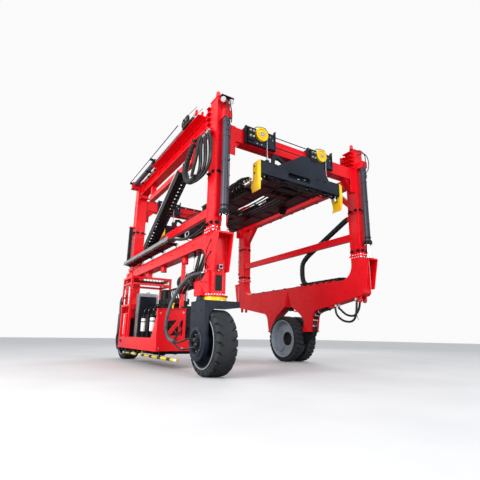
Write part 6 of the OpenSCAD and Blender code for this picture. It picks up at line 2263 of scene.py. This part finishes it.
class GANTRY_OT_signals(bpy.types.Operator):
    """Builds the beacons, the work lamps and the wiring at the column heads"""

    bl_idname = "gantry.signals"
    bl_label = "Signals"

    BASE = [
        (0.0, 0), (0.058, 0), (0.058, 0.014), (0.03, 0.02), (0.03, 0.06), (0.048, 0.066), (0.054, 0.095),
        (0.0, 0.095),
    ]
    LENS = [
        (0.0, 0), (0.05, 0), (0.052, 0.02), (0.051, 0.075), (0.046, 0.105), (0.034, 0.126), (0.016, 0.137),
        (0.0, 0.139),
    ]
    LAMP = [(0.0, -0.055), (0.034, -0.052), (0.05, -0.02), (0.058, 0.012), (0.058, 0.02), (0.05, 0.02)]
    GLASS = [(0.0, 0.012), (0.051, 0.012), (0.051, 0.017), (0.0, 0.021)]
    LAMP_AIM = (0, -0.86, -0.5)

    def execute(self, context):
        lens, bases, lamps, faces, brackets, wires, red, box = forms(8)
        top = SLEEVE_TOP
        for side in SIDES:
            x, y, z = side * COLUMN_X - 0.06, -COLUMN_Y, top
            bases.turned((x, y, z), "z", self.BASE, 28)
            lens.turned((x, y, z + 0.095), "z", self.LENS, 32)
            wires.hose(
                [
                    (x + 0.05, y, z + 0.03), (x + 0.1, y, z + 0.04), (x + 0.15, y, z + 0.02),
                    (x + 0.168, y, z - 0.08), (x + 0.165, y, z - 0.4)
                ],
                0.007
            )
            for k in range(4):
                rib = z - 0.13 * k
                step = [(-2.62, rib - 0.1), (-2.62, rib - 0.115), (-2.5, rib - 0.115), (-2.49, rib - 0.1)]
                red.prism("x", step, x - 0.14, x + 0.14)
        for k in range(5):
            z = top - 0.09 - 0.115 * k
            red.prism("y", [(1.951, z), (1.951, z - 0.016), (1.8, z - 0.016), (1.79, z)], -2.93, -2.66)
        red.block((1.935, -2.93, top - 0.6), (1.951, -2.66, top - 0.05))
        made = lens.piece("beacon_lenses", "upper_frame", "beacon_lens")
        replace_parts(made, "beacons")
        bases.piece("beacon_bases", "upper_frame", "black_enamel")
        x, z, face = -COLUMN_X, top, -2.95
        brackets.block((x - 0.14, face - 0.16, z - 0.058), (x + 0.16, face - 0.05, z - 0.044))
        brackets.block((x - 0.022, face - 0.14, z - 0.044), (x + 0.022, face + 0.02, z - 0.03))
        brackets.prism(
            "x", [(face - 0.15, z - 0.05), (face, z - 0.05), (face, z - 0.14)], x - 0.006, x + 0.006
        )
        for lamp_x in (x - 0.085, x + 0.105):
            y = face - 0.115
            lamps.turned((lamp_x, y, z - 0.13), self.LAMP_AIM, self.LAMP, 28)
            faces.turned((lamp_x, y, z - 0.13), self.LAMP_AIM, self.GLASS, 28)
            for low in (lamp_x - 0.062, lamp_x + 0.056):
                brackets.block((low, y - 0.012, z - 0.15), (low + 0.006, y + 0.012, z - 0.05))
            wires.hose(
                [
                    (lamp_x, y + 0.05, z - 0.1), (lamp_x + 0.02, y + 0.1, z - 0.16),
                    (lamp_x + 0.01, face - 0.005, z - 0.3)
                ],
                0.006
            )
        made = brackets.piece("lamp_bracket", "upper_frame", "maroon_enamel", 0.002)
        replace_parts(made, "work_lamps")
        lamps.piece("lamp_housings", "upper_frame", "white_enamel")
        faces.piece("lamp_glasses", "upper_frame", "white_enamel")
        box.block((x + 0.155, -2.87, 5.16), (x + 0.215, -2.72, 5.36))
        for k in range(4):
            y = -2.85 + 0.03 * k
            wires.hose(
                [
                    (x + 0.19, y, 5.16), (x + 0.2, y, 5.02), (x + 0.17, -2.8 + 0.02 * k, 4.96),
                    (x + 0.16, -2.7, 4.92)
                ],
                0.007
            )
        box.piece("junction_boxes", "upper_frame", "white_enamel", 0.004)
        red.piece("ladder_head_ribs", "upper_frame", "red_enamel", 0.002)
        wires.piece("head_wires", "upper_frame", "hose_cover")
        return {"FINISHED"}


class GANTRY_PT_panel(bpy.types.Panel):
    """The gantry's pieces and sizes"""

    bl_idname = "GANTRY_PT_panel"
    bl_label = "Mobile gantry"
    bl_space_type = "VIEW_3D"
    bl_region_type = "UI"
    bl_category = "Gantry"

    def draw(self, context):
        for name in GantrySizes.__annotations__:
            self.layout.prop(context.scene.gantry_sizes, name)
        for kind in OPERATORS:
            self.layout.operator(kind.bl_idname)


OPERATORS = (
    GANTRY_OT_stage, GANTRY_OT_finishes, GANTRY_OT_columns, GANTRY_OT_lift_cylinders, GANTRY_OT_upper_beams,
    GANTRY_OT_hoist, GANTRY_OT_chains, GANTRY_OT_spreader, GANTRY_OT_left_chassis, GANTRY_OT_right_chassis,
    GANTRY_OT_wheels, GANTRY_OT_power_pack, GANTRY_OT_signals
)
classes = (GantrySizes, *OPERATORS, GANTRY_PT_panel)


def register():
    for kind in classes:
        bpy.utils.register_class(kind)
    bpy.types.Scene.gantry_sizes = bpy.props.PointerProperty(type=GantrySizes)


def unregister():
    del bpy.types.Scene.gantry_sizes
    for kind in reversed(classes):
        bpy.utils.unregister_class(kind)


def main():
    register()
    bpy.ops.gantry.finishes()
    bpy.ops.gantry.stage()
    bpy.ops.gantry.columns()
    bpy.ops.gantry.lift_cylinders()
    bpy.ops.gantry.upper_beams()
    bpy.ops.gantry.hoist()
    bpy.ops.gantry.chains()
    bpy.ops.gantry.spreader()
    bpy.ops.gantry.left_chassis()
    bpy.ops.gantry.right_chassis()
    bpy.ops.gantry.wheels()
    bpy.ops.gantry.power_pack()
    bpy.ops.gantry.signals()


if __name__ == "__main__":
    main()
